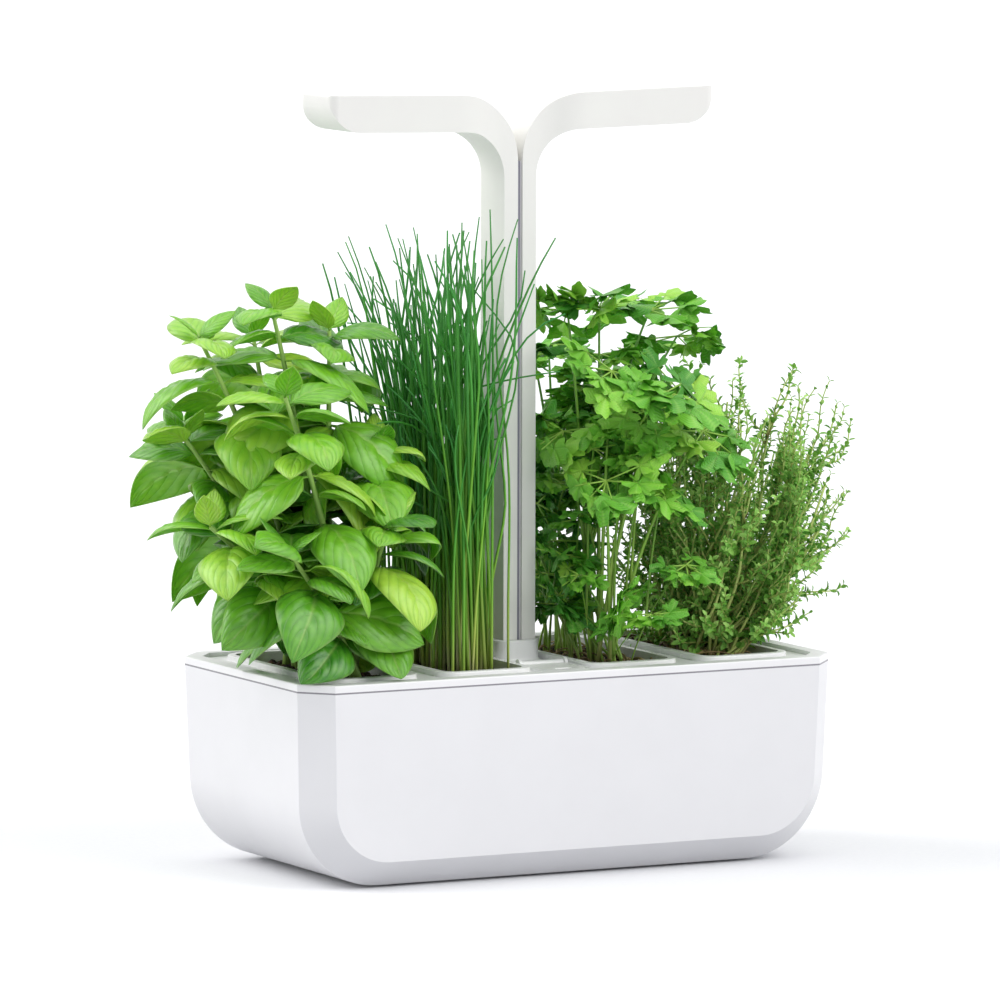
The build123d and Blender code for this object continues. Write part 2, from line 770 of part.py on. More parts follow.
# %% Timer console
with BuildPart() as console_cover:
    with BuildSketch(Plane.XZ.offset(-(console_front - console_cover_thickness))):
        with Locations((0, (console_bottom + parting_height) / 2)):
            Rectangle(console_length, console_height)
        with Locations((0, supply_height)):
            Rectangle(lead_width + 2 * seat_gap, slot_height, mode=Mode.SUBTRACT)
        with Locations((post_x, console_mid_height), (-post_x, console_mid_height)):
            Circle(console_screw_radius + running_gap, mode=Mode.SUBTRACT)
    extrude(amount=-console_cover_thickness)
console_cover.part.label = "console_cover"
export_step(console_cover.part, "parts/console_cover.step")

with BuildPart() as console_screws:
    with BuildSketch(Plane.XZ.offset(-(console_front - console_cover_thickness))):
        with Locations((post_x, console_mid_height), (-post_x, console_mid_height)):
            Circle(console_screw_head)
    extrude(amount=console_screw_head)
    with BuildSketch(Plane.XZ.offset(-(console_front - console_cover_thickness))):
        with Locations((post_x, console_mid_height), (-post_x, console_mid_height)):
            Circle(console_screw_radius - running_gap)
    extrude(amount=-console_screw_length)
console_screws.part.label = "console_screws"
export_step(console_screws.part, "parts/console_screws.step")

circuit_back = circuit_front + circuit_thickness
with BuildPart() as control_board:
    with BuildSketch(Plane.XZ.offset(-circuit_front)):
        with Locations((0, console_mid_height)):
            Rectangle(circuit_length, circuit_height)
    extrude(amount=-circuit_thickness)
control_board.part.label = "control_board"
export_step(control_board.part, "parts/control_board.step")

cavity_rear = console_rear - console_wall
inlet_mouth = spigot_rear - inlet_sink
with BuildPart() as dc_inlet:
    with BuildSketch(Plane.XZ.offset(-circuit_back)):
        with Locations((-inlet_x, console_mid_height)):
            Rectangle(inlet_body_width, inlet_body_height)
    extrude(amount=-(cavity_rear - circuit_back))
    with BuildSketch(Plane.XZ.offset(-cavity_rear)):
        with Locations((-inlet_x, console_mid_height)):
            Circle(inlet_radius)
    extrude(amount=-(inlet_mouth - cavity_rear))
    with BuildSketch(Plane.XZ.offset(-(inlet_mouth - inlet_bore_depth))):
        with Locations((-inlet_x, console_mid_height)):
            Circle(inlet_bore_radius)
            Circle(inlet_pin_radius, mode=Mode.SUBTRACT)
    extrude(amount=-inlet_bore_depth, mode=Mode.SUBTRACT)
dc_inlet.part.label = "dc_inlet"
export_step(dc_inlet.part, "parts/dc_inlet.step")

switch_top = circuit_back + switch_height + switch_plunger_height
with BuildPart() as button_switch:
    with BuildSketch(Plane.XZ.offset(-circuit_back)):
        with Locations((button_x, console_mid_height)):
            Rectangle(switch_size, switch_size)
    extrude(amount=-switch_height)
    with BuildSketch(Plane.XZ.offset(-(circuit_back + switch_height))):
        with Locations((button_x, console_mid_height)):
            Circle(switch_plunger_radius)
    extrude(amount=-switch_plunger_height)
button_switch.part.label = "button_switch"
export_step(button_switch.part, "parts/button_switch.step")

with BuildPart() as timer_button:
    with BuildSketch(Plane.XZ.offset(-(cavity_rear - button_flange_thickness))):
        with Locations((button_x, console_mid_height)):
            Circle(button_radius + button_flange)
    extrude(amount=-button_flange_thickness)
    with BuildSketch(Plane.XZ.offset(-cavity_rear)):
        with Locations((button_x, console_mid_height)):
            Circle(button_radius)
    extrude(amount=-(spigot_rear + button_proud - cavity_rear))
    fillet(timer_button.faces().sort_by(Axis.Y)[-1].edges(), radius=button_proud / 2)
    with BuildSketch(Plane.XZ.offset(-(switch_top + button_travel + seat_gap))):
        with Locations((button_x, console_mid_height)):
            Circle(button_stem_radius)
    extrude(amount=-(cavity_rear - button_flange_thickness - switch_top - button_travel - seat_gap))
timer_button.part.label = "timer_button"
export_step(timer_button.part, "parts/timer_button.step")


# %% Fill flap, its pin and the water level float
with BuildPart() as fill_flap:
    with BuildSketch(Plane.XY.offset(flap_bottom)) as flap_plan:
        with Locations((0, (flap_front + hinge_y) / 2)):
            Rectangle(flap_width, hinge_y - flap_front)
        fillet(flap_plan.vertices().group_by(Axis.Y)[0], radius=port_corner)
    extrude(amount=flap_thickness)
    with BuildSketch(Plane.YZ):
        with Locations((hinge_y, hinge_height)):
            Circle(hinge_radius)
    extrude(amount=flap_width / 2, both=True)
    # Finger dimple near the front edge
    with BuildSketch(Plane.XY.offset(hinge_height)):
        with Locations((0, flap_front + port_corner)):
            SlotOverall(port_width / 2, port_corner)
    extrude(amount=-flap_thickness / 2, mode=Mode.SUBTRACT)
    with BuildSketch(Plane.YZ):
        with Locations((hinge_y, hinge_height)):
            Circle(pin_radius + running_gap)
    extrude(amount=flap_width, both=True, mode=Mode.SUBTRACT)
fill_flap.part.label = "fill_flap"
export_step(fill_flap.part, "parts/fill_flap.step")

with BuildPart() as flap_pin:
    with BuildSketch(Plane.YZ):
        with Locations((hinge_y, hinge_height)):
            Circle(pin_radius)
    extrude(amount=port_pad_width / 2, both=True)
flap_pin.part.label = "flap_pin"
export_step(flap_pin.part, "parts/flap_pin.step")

float_bottom = floor_top + seat_gap
with BuildPart() as level_float:
    with BuildSketch(Plane.XY.offset(float_bottom)):
        with Locations((0, -float_y)):
            RectangleRounded(float_block_x, float_block_y, float_round)
    extrude(amount=float_block_height)
    with BuildSketch(Plane.XY.offset(float_bottom)):
        with Locations((0, -float_y)):
            Circle(float_stem_radius)
    extrude(amount=deck_top + float_ring_height - float_bottom)
level_float.part.label = "level_float"
export_step(level_float.part, "parts/level_float.step")


# %% Pots with their soil and wicks
cavity_width = pot_top_width - 2 * pot_wall
cavity_length = pot_top_length - 2 * pot_wall
pot_slope = tan(radians(pot_taper))
soil_shrink = 2 * (deck_top - soil_top) * pot_slope + 2 * seat_gap
soil_bottom = pot_bottom + pot_wall
for herb, pot_x in pot_places.items():
    with BuildPart() as pot:
        with BuildSketch(Plane.XY.offset(deck_top)):
            with Locations((pot_x, 0)):
                RectangleRounded(pot_top_width, pot_top_length, pot_corner)
        extrude(amount=-pot_depth, taper=pot_taper)
        with BuildSketch(Plane.XY.offset(deck_top)):
            with Locations((pot_x, 0)):
                RectangleRounded(rim_width, rim_length, rim_corner)
        extrude(amount=pot_rim_height)
        fillet(pot.faces().sort_by(Axis.Z)[-1].edges(), radius=lip_round)
        with BuildSketch(Plane.XY.offset(deck_top)):
            with Locations((pot_x, 0)):
                RectangleRounded(cavity_width, cavity_length, pot_corner - pot_wall)
        extrude(amount=-(pot_depth - pot_wall), taper=pot_taper, mode=Mode.SUBTRACT)
        with BuildSketch(Plane.XY.offset(deck_top)):
            with Locations((pot_x, 0)):
                RectangleRounded(cavity_width, cavity_length, pot_corner - pot_wall)
        extrude(amount=pot_rim_height, mode=Mode.SUBTRACT)
        # Wick slot and two drain slots in the floor
        with BuildSketch(Plane.XY.offset(pot_bottom)):
            with Locations((pot_x, 0)):
                Rectangle(wick_width + 2 * seat_gap, wick_thickness + 2 * seat_gap)
            with Locations((pot_x, drain_length), (pot_x, -drain_length)):
                SlotOverall(drain_length, drain_width, rotation=90)
        extrude(amount=pot_wall, mode=Mode.SUBTRACT)
    pot.part.label = f"{herb}_pot"
    export_step(pot.part, f"parts/{herb}_pot.step")

    with BuildPart() as soil:
        with BuildSketch(Plane.XY.offset(soil_top)):
            with Locations((pot_x, 0)):
                RectangleRounded(cavity_width - soil_shrink, cavity_length - soil_shrink, pot_corner - pot_wall)
        extrude(amount=-(soil_top - soil_bottom), taper=pot_taper)
        with BuildSketch(Plane.XY.offset(soil_bottom)):
            with Locations((pot_x, 0)):
                Rectangle(wick_width + 2 * seat_gap, wick_thickness + 2 * seat_gap)
        extrude(amount=wick_in_soil, mode=Mode.SUBTRACT)
    soil.part.label = f"{herb}_soil"
    export_step(soil.part, f"parts/{herb}_soil.step")

    with BuildPart() as wick:
        with BuildSketch(Plane.XY.offset(floor_top + wick_above_floor)):
            with Locations((pot_x, 0)):
                Rectangle(wick_width, wick_thickness)
        extrude(amount=soil_bottom + wick_in_soil - floor_top - wick_above_floor)
    wick.part.label = f"{herb}_wick"
    export_step(wick.part, f"parts/{herb}_wick.step")


# %% Herbs
# Each herb is thin stems with flat leaves, as many as its outline needs. It stands on its soil and
# is cut to the room that its neighbours, the mast and the deck leave.
leaf_floor = rim_top + leaf_clearance


def along(heading, rise):
    """Unit vector at a heading round Z and a rise above the level, both in degrees."""
    level = cos(radians(rise))
    return Vector(level * cos(radians(heading)), level * sin(radians(heading)), sin(radians(rise)))


def leaf_plane(foot, heading, rise):
    """Plane of a leaf that starts at a point: X runs along the leaf and Z is its upper side."""
    return Plane(origin=foot, x_dir=along(heading, rise), z_dir=along(heading, rise + 90))


def upright_plane(foot, heading):
    """Upright plane through a clump's foot: X runs along the heading and Y runs up."""
    return Plane(origin=foot, x_dir=along(heading, 0), z_dir=along(heading - 90, 0))


def leaf_points(half, size):
    """Corners of a leaf from one half of its outline, given as shares of its length."""
    near = [(size * x, size * y) for x, y in half]
    return near + [(x, -y) for x, y in reversed(near) if y]


def room(herb, *boxes):
    """Solid of the room a herb may fill: the space over its soil and the boxes above the rim."""
    middle = pot_places[herb]
    half_x = cavity_width / 2 - soil_shrink
    half_y = cavity_length / 2 - soil_shrink
    over_soil = (middle - half_x, -half_y, soil_top, middle + half_x, half_y, leaf_floor)
    with BuildPart() as space:
        for left, front, bottom, right, back, top in (over_soil, *boxes):
            with BuildSketch(Plane.XY.offset(bottom)):
                with Locations(((left + right) / 2, (front + back) / 2)):
                    Rectangle(right - left, back - front)
            extrude(amount=top - bottom)
    return space.part


def rooted(herb):
    """The solids of a herb that stand on the soil, without cuttings left in the air."""
    return [s for s in herb.solids() if s.bounding_box().min.Z < soil_top + seat_gap]


# Basil: leaning shoots with crossed pairs of pointed oval leaves, smaller towards the tip
basil_half = [(0.0, 0.03), (0.22, 0.28), (0.60, 0.28), (1.0, 0.0)]
basil_pairs = [(0.34, 0.92, -32), (0.52, 1.0, -34), (0.69, 0.98, -30), (0.84, 0.84, -20), (0.97, 0.52, 10)]
basil_shoots = [
    (-0.85, -0.43, -0.97, 0.79),
    (-0.30, -0.29, -0.16, 1.00),
    (-0.10, -0.62, 0.00, 0.93),
    (-0.15, 0.00, -0.16, 0.94),
    (-0.35, 0.20, -0.35, 0.62),
    (0.15, -0.66, 0.15, 0.66),
    (-1.00, -0.45, -1.12, 0.38),
    (-0.70, 0.10, -0.95, 0.44),
    (-0.50, -0.70, -0.55, 0.44),
    (0.60, -0.12, 0.90, 0.90),
    (0.45, -0.50, 0.80, 0.68),
    (0.85, 0.12, 0.85, 0.60),
]
with BuildPart() as basil:
    leaf_rows = [[] for pair in basil_pairs]
    for turn, (foot_y, tip_x, tip_y, tip_z) in enumerate(basil_shoots):
        foot = Vector(pot_places["basil"], foot_y * herb_foot_reach, soil_top)
        tip = Vector(foot.X + tip_x * basil_reach, tip_y * basil_spread, soil_top + tip_z * basil_height)
        with BuildSketch(Plane(origin=foot, z_dir=tip - foot)):
            RegularPolygon(basil_stem_radius, 4)
        extrude(amount=(tip - foot).length)
        for row, (share, size, rise) in enumerate(basil_pairs):
            heading = basil_turn * turn + 90 * row
            node = foot + (tip - foot) * share
            leaf_rows[row] += [leaf_plane(node, heading, rise), leaf_plane(node, heading + 180, rise)]
    for planes, (share, size, rise) in zip(leaf_rows, basil_pairs):
        with BuildSketch(*planes):
            with BuildLine():
                Polyline(*leaf_points(basil_half, size * basil_leaf), close=True)
            make_face()
        extrude(amount=-leaf_thickness)
    add(
        room(
            "basil",
            (-herb_reach, -herb_depth, leaf_floor, basil_edge, herb_depth, arm_underside),
            (basil_edge, -herb_depth, leaf_floor, basil_front_edge, -herb_front_line, arm_underside),
        ),
        mode=Mode.INTERSECT,
    )
with BuildPart() as basil_plant:
    add(rooted(basil))
basil_plant.part.label = "basil_plant"
export_step(basil_plant.part, "parts/basil_plant.step")

# Chives: flat fans of thin blades that curve outwards, each clump's fan turned another way
chive_stations = [(0.0, 1.0), (0.45, 0.85), (0.8, 0.55)]
chive_blades = [(-15, 0.70), (-10, 0.92), (-6, 0.82), (-2, 1.0), (3, 0.94), (7, 0.80), (12, 0.88), (17, 0.66)]
chive_clumps = [
    (-0.30, -0.85, 20, 0.90),
    (0.25, -0.60, 95, 1.00),
    (-0.10, -0.25, 165, 0.96),
    (0.20, 0.10, 60, 1.00),
    (-0.25, 0.45, 120, 0.94),
    (0.10, 0.80, 5, 0.86),
]
with BuildPart() as chives:
    for foot_x, foot_y, heading, height in chive_clumps:
        foot = (pot_places["chives"] + foot_x * pot_top_width / 2, foot_y * herb_foot_reach, soil_top)
        with BuildSketch(upright_plane(foot, heading)):
            for place, (lean, length) in enumerate(chive_blades):
                reach = length * height * chive_length * sin(radians(lean))
                rise = length * height * chive_length * cos(radians(lean))
                start = (place - len(chive_blades) / 2) * chive_pitch
                left = [(start + reach * t * t - chive_width * w / 2, rise * t) for t, w in chive_stations]
                right = [(start + reach * t * t + chive_width * w / 2, rise * t) for t, w in chive_stations]
                with BuildLine():
                    Polyline(*left, (start + reach, rise), *reversed(right), close=True)
                make_face()
        extrude(amount=chive_width / 2, both=True)
    front_limit = -herb_front_line + seat_gap
    mast_front = -mast_half_depth - herb_mast_gap
    add(
        room(
            "chives",
            (basil_edge + seat_gap, front_limit, leaf_floor, -flap_swing_x, herb_depth, arm_underside),
            (-flap_swing_x, front_limit, flap_swing_top, chives_front_edge, mast_front, arm_underside),
        ),
        mode=Mode.INTERSECT,
    )
with BuildPart() as chives_plant:
    add(rooted(chives))
chives_plant.part.label = "chives_plant"
export_step(chives_plant.part, "parts/chives_plant.step")

# Parsley: upright stalks, each with a spray of three lobed leaves in one tilted plane
parsley_half = [(0.0, 0.04), (0.14, 0.10), (0.20, 0.52), (0.44, 0.28), (0.62, 0.42), (0.76, 0.14), (1.0, 0.0)]
parsley_turns = [0, 105, -105]
parsley_stalks = [
    (-0.30, -0.10, 0.00, 0.99, 180, 20),
    (-0.45, 0.08, -0.12, 1.00, -90, 10),
    (0.10, 0.52, 0.00, 0.98, 20, 10),
    (0.30, 0.78, 0.10, 0.90, 10, -20),
    (0.55, 0.80, 0.30, 0.74, 15, -40),
    (-0.70, 0.25, -0.80, 0.78, -80, -30),
    (-0.55, -0.10, -0.68, 0.84, -120, -20),
    (0.20, -0.18, 0.35, 0.85, 150, -20),
    (-0.60, 0.58, -0.68, 0.66, -40, -35),
    (-0.35, -0.25, -0.25, 0.66, -150, -30),
    (-0.80, -0.20, -0.80, 0.54, -130, -35),
    (-0.90, 0.32, -0.95, 0.30, -70, -25),
    (-0.95, 0.05, -1.00, 0.17, -95, -15),
    (-0.55, -0.28, -0.55, 0.27, -170, -15),
    (0.70, 0.20, 0.90, 0.86, 90, -20),
    (0.60, 0.65, 0.80, 0.74, 50, -35),
    (0.80, -0.15, 0.85, 0.62, 120, -35),
    (0.90, 0.40, 1.00, 0.50, 70, -30),
]
with BuildPart() as parsley:
    leaf_rows = [[] for turn in parsley_turns]
    for foot_y, tip_x, tip_y, tip_z, heading, rise in parsley_stalks:
        foot = Vector(pot_places["parsley"], foot_y * herb_foot_reach, soil_top)
        tip = Vector(foot.X + tip_x * parsley_reach, tip_y * parsley_spread, soil_top + tip_z * parsley_height)
        with BuildSketch(Plane(origin=foot, z_dir=tip - foot)):
            RegularPolygon(parsley_stalk_radius, 4)
        extrude(amount=(tip - foot).length)
        for row, turn in enumerate(parsley_turns):
            leaf_rows[row].append(leaf_plane(tip, heading, rise).rotated((0, 0, turn)))
    for planes in leaf_rows:
        with BuildSketch(*planes):
            with BuildLine():
                Polyline(*leaf_points(parsley_half, parsley_leaf), close=True)
            make_face()
        extrude(amount=-leaf_thickness)
    add(
        room(
            "parsley",
            (flap_swing_x, -herb_depth, leaf_floor, thyme_low_edge, herb_depth, thyme_step_height),
            (flap_swing_x, -herb_depth, thyme_step_height, thyme_high_edge, herb_depth, arm_underside),
        ),
        mode=Mode.INTERSECT,
    )
with BuildPart() as parsley_plant:
    add(rooted(parsley))
parsley_plant.part.label = "parsley_plant"
export_step(parsley_plant.part, "parts/parsley_plant.step")

# Thyme: flat fans of wiry sprigs with small paired leaves, which together make a round bush
thyme_pairs = [0.38, 0.56, 0.74, 0.92]
thyme_fans = [
    (-0.75, -40, (-24, -4, 16, 36, 54)),
    (-0.70, 5, (-10, 8, 26, 44, 62)),
    (-0.35, -90, (-20, 0, 24, 44)),
    (0.00, 0, (-12, 6, 24, 42, 60)),
    (0.35, 90, (-20, 0, 24, 44)),
    (0.70, -5, (-10, 8, 26, 44, 62)),
    (0.75, 40, (-24, -4, 16, 36, 54)),
]
with BuildPart() as thyme:
    for foot_y, heading, leans in thyme_fans:
        foot = (pot_places["thyme"] + thyme_foot_shift, foot_y * herb_foot_reach, soil_top)
        with BuildSketch(upright_plane(foot, heading)):
            for lean in leans:
                out_x = sin(radians(lean))
                out_y = cos(radians(lean))
                length = thyme_length * (1 - thyme_droop * abs(out_x))
                with BuildLine():
                    Polyline(
                        (-thyme_stem_width / 2, 0),
                        (thyme_stem_width / 2, 0),
                        (length * out_x, length * out_y),
                        close=True,
                    )
                make_face()
                for share in thyme_pairs:
                    with Locations(Location((length * share * out_x, length * share * out_y), -lean)):
                        RegularPolygon(thyme_leaf, 3)
        extrude(amount=leaf_thickness / 2, both=True)
    add(
        room(
            "thyme",
            (thyme_low_edge + seat_gap, -herb_depth, leaf_floor, herb_reach, herb_depth, thyme_step_height),
            (thyme_high_edge + seat_gap, -herb_depth, thyme_step_height, herb_reach, herb_depth, arm_underside),
        ),
        mode=Mode.INTERSECT,
    )
with BuildPart() as thyme_plant:
    add(rooted(thyme))
thyme_plant.part.label = "thyme_plant"
export_step(thyme_plant.part, "parts/thyme_plant.step")
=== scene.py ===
# %% [markdown]
# # An indoor herb planter, dressed for the camera
# The planter's tank, deck, pots and lamp come in as a measured model and keep their shapes. This
# lesson gives them their surfaces and grows what a solid can only hint at: four herbs, the soil
# they stand in, and the folded ribbon inside the mast.

# %% Load the measured model
from functools import partial
import bmesh
import bpy
import numpy as np
from mathutils import Matrix, Vector


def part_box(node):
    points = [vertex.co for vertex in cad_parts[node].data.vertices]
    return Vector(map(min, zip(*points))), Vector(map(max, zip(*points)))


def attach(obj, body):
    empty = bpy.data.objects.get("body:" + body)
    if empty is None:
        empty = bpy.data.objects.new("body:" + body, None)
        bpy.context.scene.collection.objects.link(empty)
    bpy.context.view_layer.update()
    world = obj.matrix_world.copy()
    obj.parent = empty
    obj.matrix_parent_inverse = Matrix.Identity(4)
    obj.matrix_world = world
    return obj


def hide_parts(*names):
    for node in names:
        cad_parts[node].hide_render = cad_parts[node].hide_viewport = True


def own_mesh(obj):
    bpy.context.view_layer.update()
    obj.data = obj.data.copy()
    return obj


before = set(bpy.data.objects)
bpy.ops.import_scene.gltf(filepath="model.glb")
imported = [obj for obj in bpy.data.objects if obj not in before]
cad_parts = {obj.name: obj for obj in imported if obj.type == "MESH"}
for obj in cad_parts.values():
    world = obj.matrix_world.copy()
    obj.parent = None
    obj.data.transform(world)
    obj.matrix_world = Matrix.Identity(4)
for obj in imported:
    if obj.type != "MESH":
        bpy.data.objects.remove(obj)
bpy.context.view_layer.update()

MM = 0.001
rng = np.random.default_rng(4776)

# %% [markdown]
# ## Camera
# The picture was taken with a long lens from a low place, a little left of the front. A long lens
# keeps the planter's edges nearly parallel. The place is worked out from the turn round the planter,
# the rise above the table and the distance, so that each number has a meaning.

# %% Camera
VIEW_TURN, VIEW_RISE, VIEW_ROLL = np.radians([-27.464, 5.929, 0.126])
VIEW_DISTANCE = 5.0167
VIEW_TARGET = np.array([-0.00483, 0.0, 0.20134])
LENS_MM, SENSOR_MM = 325.25, 36.0

level_back = np.array([np.sin(VIEW_TURN), -np.cos(VIEW_TURN), 0.0])
back = np.cos(VIEW_RISE) * level_back + np.array([0.0, 0.0, np.sin(VIEW_RISE)])
level_right = np.array([np.cos(VIEW_TURN), np.sin(VIEW_TURN), 0.0])
level_up = np.cross(back, level_right)
right = np.cos(VIEW_ROLL) * level_right + np.sin(VIEW_ROLL) * level_up
up = np.cross(back, right)
camera = bpy.data.objects.new("camera", bpy.data.cameras.new("camera"))
camera.matrix_world = Matrix.Translation(VIEW_TARGET + back * VIEW_DISTANCE) @ Matrix(
    np.column_stack([right, up, back]).tolist()
).to_4x4()
camera.data.lens, camera.data.sensor_width = LENS_MM, SENSOR_MM
camera.data.clip_end = 100.0
bpy.context.collection.objects.link(camera)
bpy.context.scene.camera = camera
bpy.context.scene.view_settings.view_transform = "Standard"
print("camera at", [round(c, 3) for c in camera.matrix_world.translation])

# %% [markdown]
# ## Materials from nodes
# Colours are noted as sRGB hex values, as a colour picker shows them, and turned to linear light
# once. One small function adds any node, sets it up and wires it, so a material reads as a list.

# %% Colour and node helpers
def linear(code):
    """Linear RGBA of an sRGB hex value."""
    srgb = np.array([int(code[i : i + 2], 16) for i in (0, 2, 4)]) / 255
    light = np.where(srgb <= 0.04045, srgb / 12.92, ((srgb + 0.055) / 1.055) ** 2.4)
    return (*light.tolist(), 1.0)


def node(tree, kind, inputs=(), stops=(), **settings):
    """Adds a node. Inputs is a list, or a dict by a socket's name or number. Each is a value, a
    socket, or a node that stands for its first live output. Stops are a colour ramp's (place, hex)."""
    made = tree.nodes.new("ShaderNode" + kind)
    for key, value in settings.items():
        setattr(made, key, value)
    for key, value in inputs.items() if isinstance(inputs, dict) else enumerate(inputs):
        if isinstance(value, bpy.types.Node):
            value = next(socket for socket in value.outputs if socket.enabled)
        if isinstance(value, bpy.types.NodeSocket):
            tree.links.new(value, made.inputs[key])
        else:
            made.inputs[key].default_value = value
    if stops:
        elements = made.color_ramp.elements
        for place, _ in stops[2:]:
            elements.new(place)
        for element, (place, code) in zip(elements, stops):
            element.position, element.color = place, linear(code)
    return made


def blank(name):
    """A material with an empty node tree, and the function that adds a node to it."""
    material = bpy.data.materials.new(name)
    material.use_nodes = True
    material.node_tree.nodes.clear()
    return material, partial(node, material.node_tree)


def dress(material, *names):
    """Gives CAD nodes this material."""
    for name in names:
        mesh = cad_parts[name].data
        mesh.materials.clear()
        mesh.materials.append(material)
    print(material.name, "on", ", ".join(names))

# %% [markdown]
# ## Injection-moulded ABS
# The tank, deck and lamp are white ABS with a fine spark-eroded grain: satin, never mirror-like, with
# faint clouds where hands and wiping cloths have been. The real grain is finer than a picture shows,
# so it is drawn 0.4 mm wide. The pots are glossier, and the few dark parts are nylon and rubber.

# %% Moulded plastic
CLOUD_MM = 40.0


def moulded(name, colour, cloud, rough, grain_mm=0.4, depth=0.08, ior=1.53, line=None):
    """Moulded plastic: two close colours in soft clouds, uneven gloss and a pebbled grain. A line is
    (axis, place, half-width, colour): a thin stripe of painted shade where two parts meet, place and width in
    metres."""
    material, add = blank(name)
    place = add("TexCoord").outputs["Object"]
    clouds = add("TexNoise", {"Vector": place, "Scale": 1 / (CLOUD_MM * MM), "Detail": 3.0, "Roughness": 0.55})
    grain = add("TexNoise", {"Vector": place, "Scale": 1 / (grain_mm * MM), "Detail": 2.0})
    soft = add("MapRange", {"Value": clouds, "From Min": 0.35, "From Max": 0.65})
    tint = add("Mix", {"Factor": soft, 6: linear(colour), 7: linear(cloud)}, data_type="RGBA")
    if line:
        # The stripe is painted shade: the darkness of a seam or groove put into the colour.
        axis, middle, half, shade = line
        along = add("SeparateXYZ", [place]).outputs[axis]
        near = add("Math", [along, middle, half], operation="COMPARE")
        tint = add("Mix", {"Factor": near, 6: tint, 7: linear(shade)}, data_type="RGBA")
    gloss = add("MapRange", [clouds, 0.3, 0.7, rough - 0.05, rough + 0.06])
    bump = add("Bump", {"Height": grain, "Strength": depth, "Distance": 0.1 * MM})
    body = add("BsdfPrincipled", {"Base Color": tint, "Roughness": gloss, "IOR": ior, "Normal": bump})
    add("OutputMaterial", {"Surface": body})
    return material


# The tank's and the deck's edges meet at this height, and a thin grey line of painted shade shows the seam
# between them.
seam_shade = (2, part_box("reservoir_tub")[1][2], 0.45 * MM, "8E8C92")
# The bar between the two arms has a groove down its middle, shown as a thin dark line of painted shade.
groove_shade = (0, 0.0, 0.6 * MM, "7D7C8A")
tub_abs = moulded("satin_white_abs", "F1F1F3", "EFEFF1", 0.36, line=seam_shade)
deck_abs = moulded("bright_white_abs", "F8F8F9", "F5F5F6", 0.32, line=seam_shade)
pot_abs = moulded("gloss_white_abs", "F9F9F9", "F6F6F7", 0.26)
lamp_abs = moulded("matt_warm_white_abs", "F2F2ED", "F0EFEB", 0.42)
spine_abs = moulded("pale_grey_abs", "D2D1D4", "CDCCD0", 0.5, line=groove_shade)
inner_abs = moulded("unpainted_pale_grey_abs", "C9CBCE", "C1C3C6", 0.55, grain_mm=0.8)
black_nylon = moulded("black_nylon", "1B1B1D", "232326", 0.45)
button_abs = moulded("grey_button_abs", "9A9CA0", "92949A", 0.38)
float_foam = moulded("green_float_polystyrene", "6FA84A", "679F45", 0.5, grain_mm=1.2, depth=0.2)
rubber = moulded("black_rubber", "2A2A2C", "323234", 0.72, grain_mm=0.7, depth=0.25, ior=1.5)
dress(tub_abs, "reservoir_tub")
dress(deck_abs, "grow_deck")
dress(pot_abs, "fill_flap", "basil_pot", "chives_pot", "parsley_pot", "thyme_pot")
dress(lamp_abs, "left_arm_shell", "right_arm_shell")
dress(spine_abs, "mast_spine")
dress(inner_abs, "mast_sleeve", "mast_foot", "console_cover")
dress(black_nylon, "dc_inlet", "button_switch")
dress(button_abs, "timer_button")
dress(float_foam, "level_float")
dress(rubber, "foot_pads", "friction_pads")

# %% [markdown]
# ## Softened edges
# No moulded edge is sharp: the mould is cut with a rounded tool, and sharp corners would not fill. A
# narrow bevel on each edge catches a thin line of light. The lamp's arms are rounded most.

# %% Edge bevels
JOIN_MM, SHARP_DEGREES = 0.002, 30


def soften(width, *names):
    """Rounds the sharp edges of CAD nodes by a bevel of this width in metres. The faces are joined
    along their edges first, and their normals are weighted by area, so that flats stay flat."""
    for name in names:
        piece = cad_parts[name]
        piece.modifiers.new("joined", "WELD").merge_threshold = JOIN_MM * MM
        edge = piece.modifiers.new("edge", "BEVEL")
        edge.width, edge.segments = width, 2
        edge.limit_method, edge.angle_limit = "ANGLE", np.radians(SHARP_DEGREES)
        piece.modifiers.new("normals", "WEIGHTED_NORMAL").weight = 100
    print("bevel", round(width / MM, 2), "mm on", ", ".join(names))


soften(0.5 * MM, "reservoir_tub", "grow_deck", "fill_flap")
soften(1.3 * MM, "left_arm_shell", "right_arm_shell")

# %% [markdown]
# ## Metal, circuit boards and the light strip
# The screws are zinc-plated steel, the boards are glass fibre under green solder mask, and each light
# strip is a frosted acrylic sheet over small domes of clear silicone with yellow phosphor.

# %% Small finishes
def zinc_plate():
    """Zinc plate: bright, slightly blue, with uneven spangle of about 1 mm in its gloss."""
    material, add = blank("zinc_plated_steel")
    place = add("TexCoord").outputs["Object"]
    spangle = add("TexNoise", {"Vector": place, "Scale": 900.0, "Detail": 4.0})
    gloss = add("MapRange", {"Value": spangle, "To Min": 0.22, "To Max": 0.42})
    body = add("BsdfPrincipled", {"Base Color": linear("C4C6C9"), "Metallic": 1.0, "Roughness": gloss})
    add("OutputMaterial", {"Surface": body})
    return material


def solder_mask():
    """Circuit board: glossy green mask over copper tracks, which show as paler lines between fields
    of about 6 by 3 mm."""
    material, add = blank("green_solder_mask")
    place = add("TexCoord").outputs["Object"]
    greens = {"Color1": linear("1F6B3E"), "Color2": linear("1B6037"), "Mortar": linear("3C8A58")}
    tracks = add("TexBrick", {"Vector": place, "Scale": 1 / (12 * MM), "Mortar Size": 0.05, **greens})
    body = add("BsdfPrincipled", {"Base Color": tracks, "Roughness": 0.25, "IOR": 1.55})
    add("OutputMaterial", {"Surface": body})
    return material


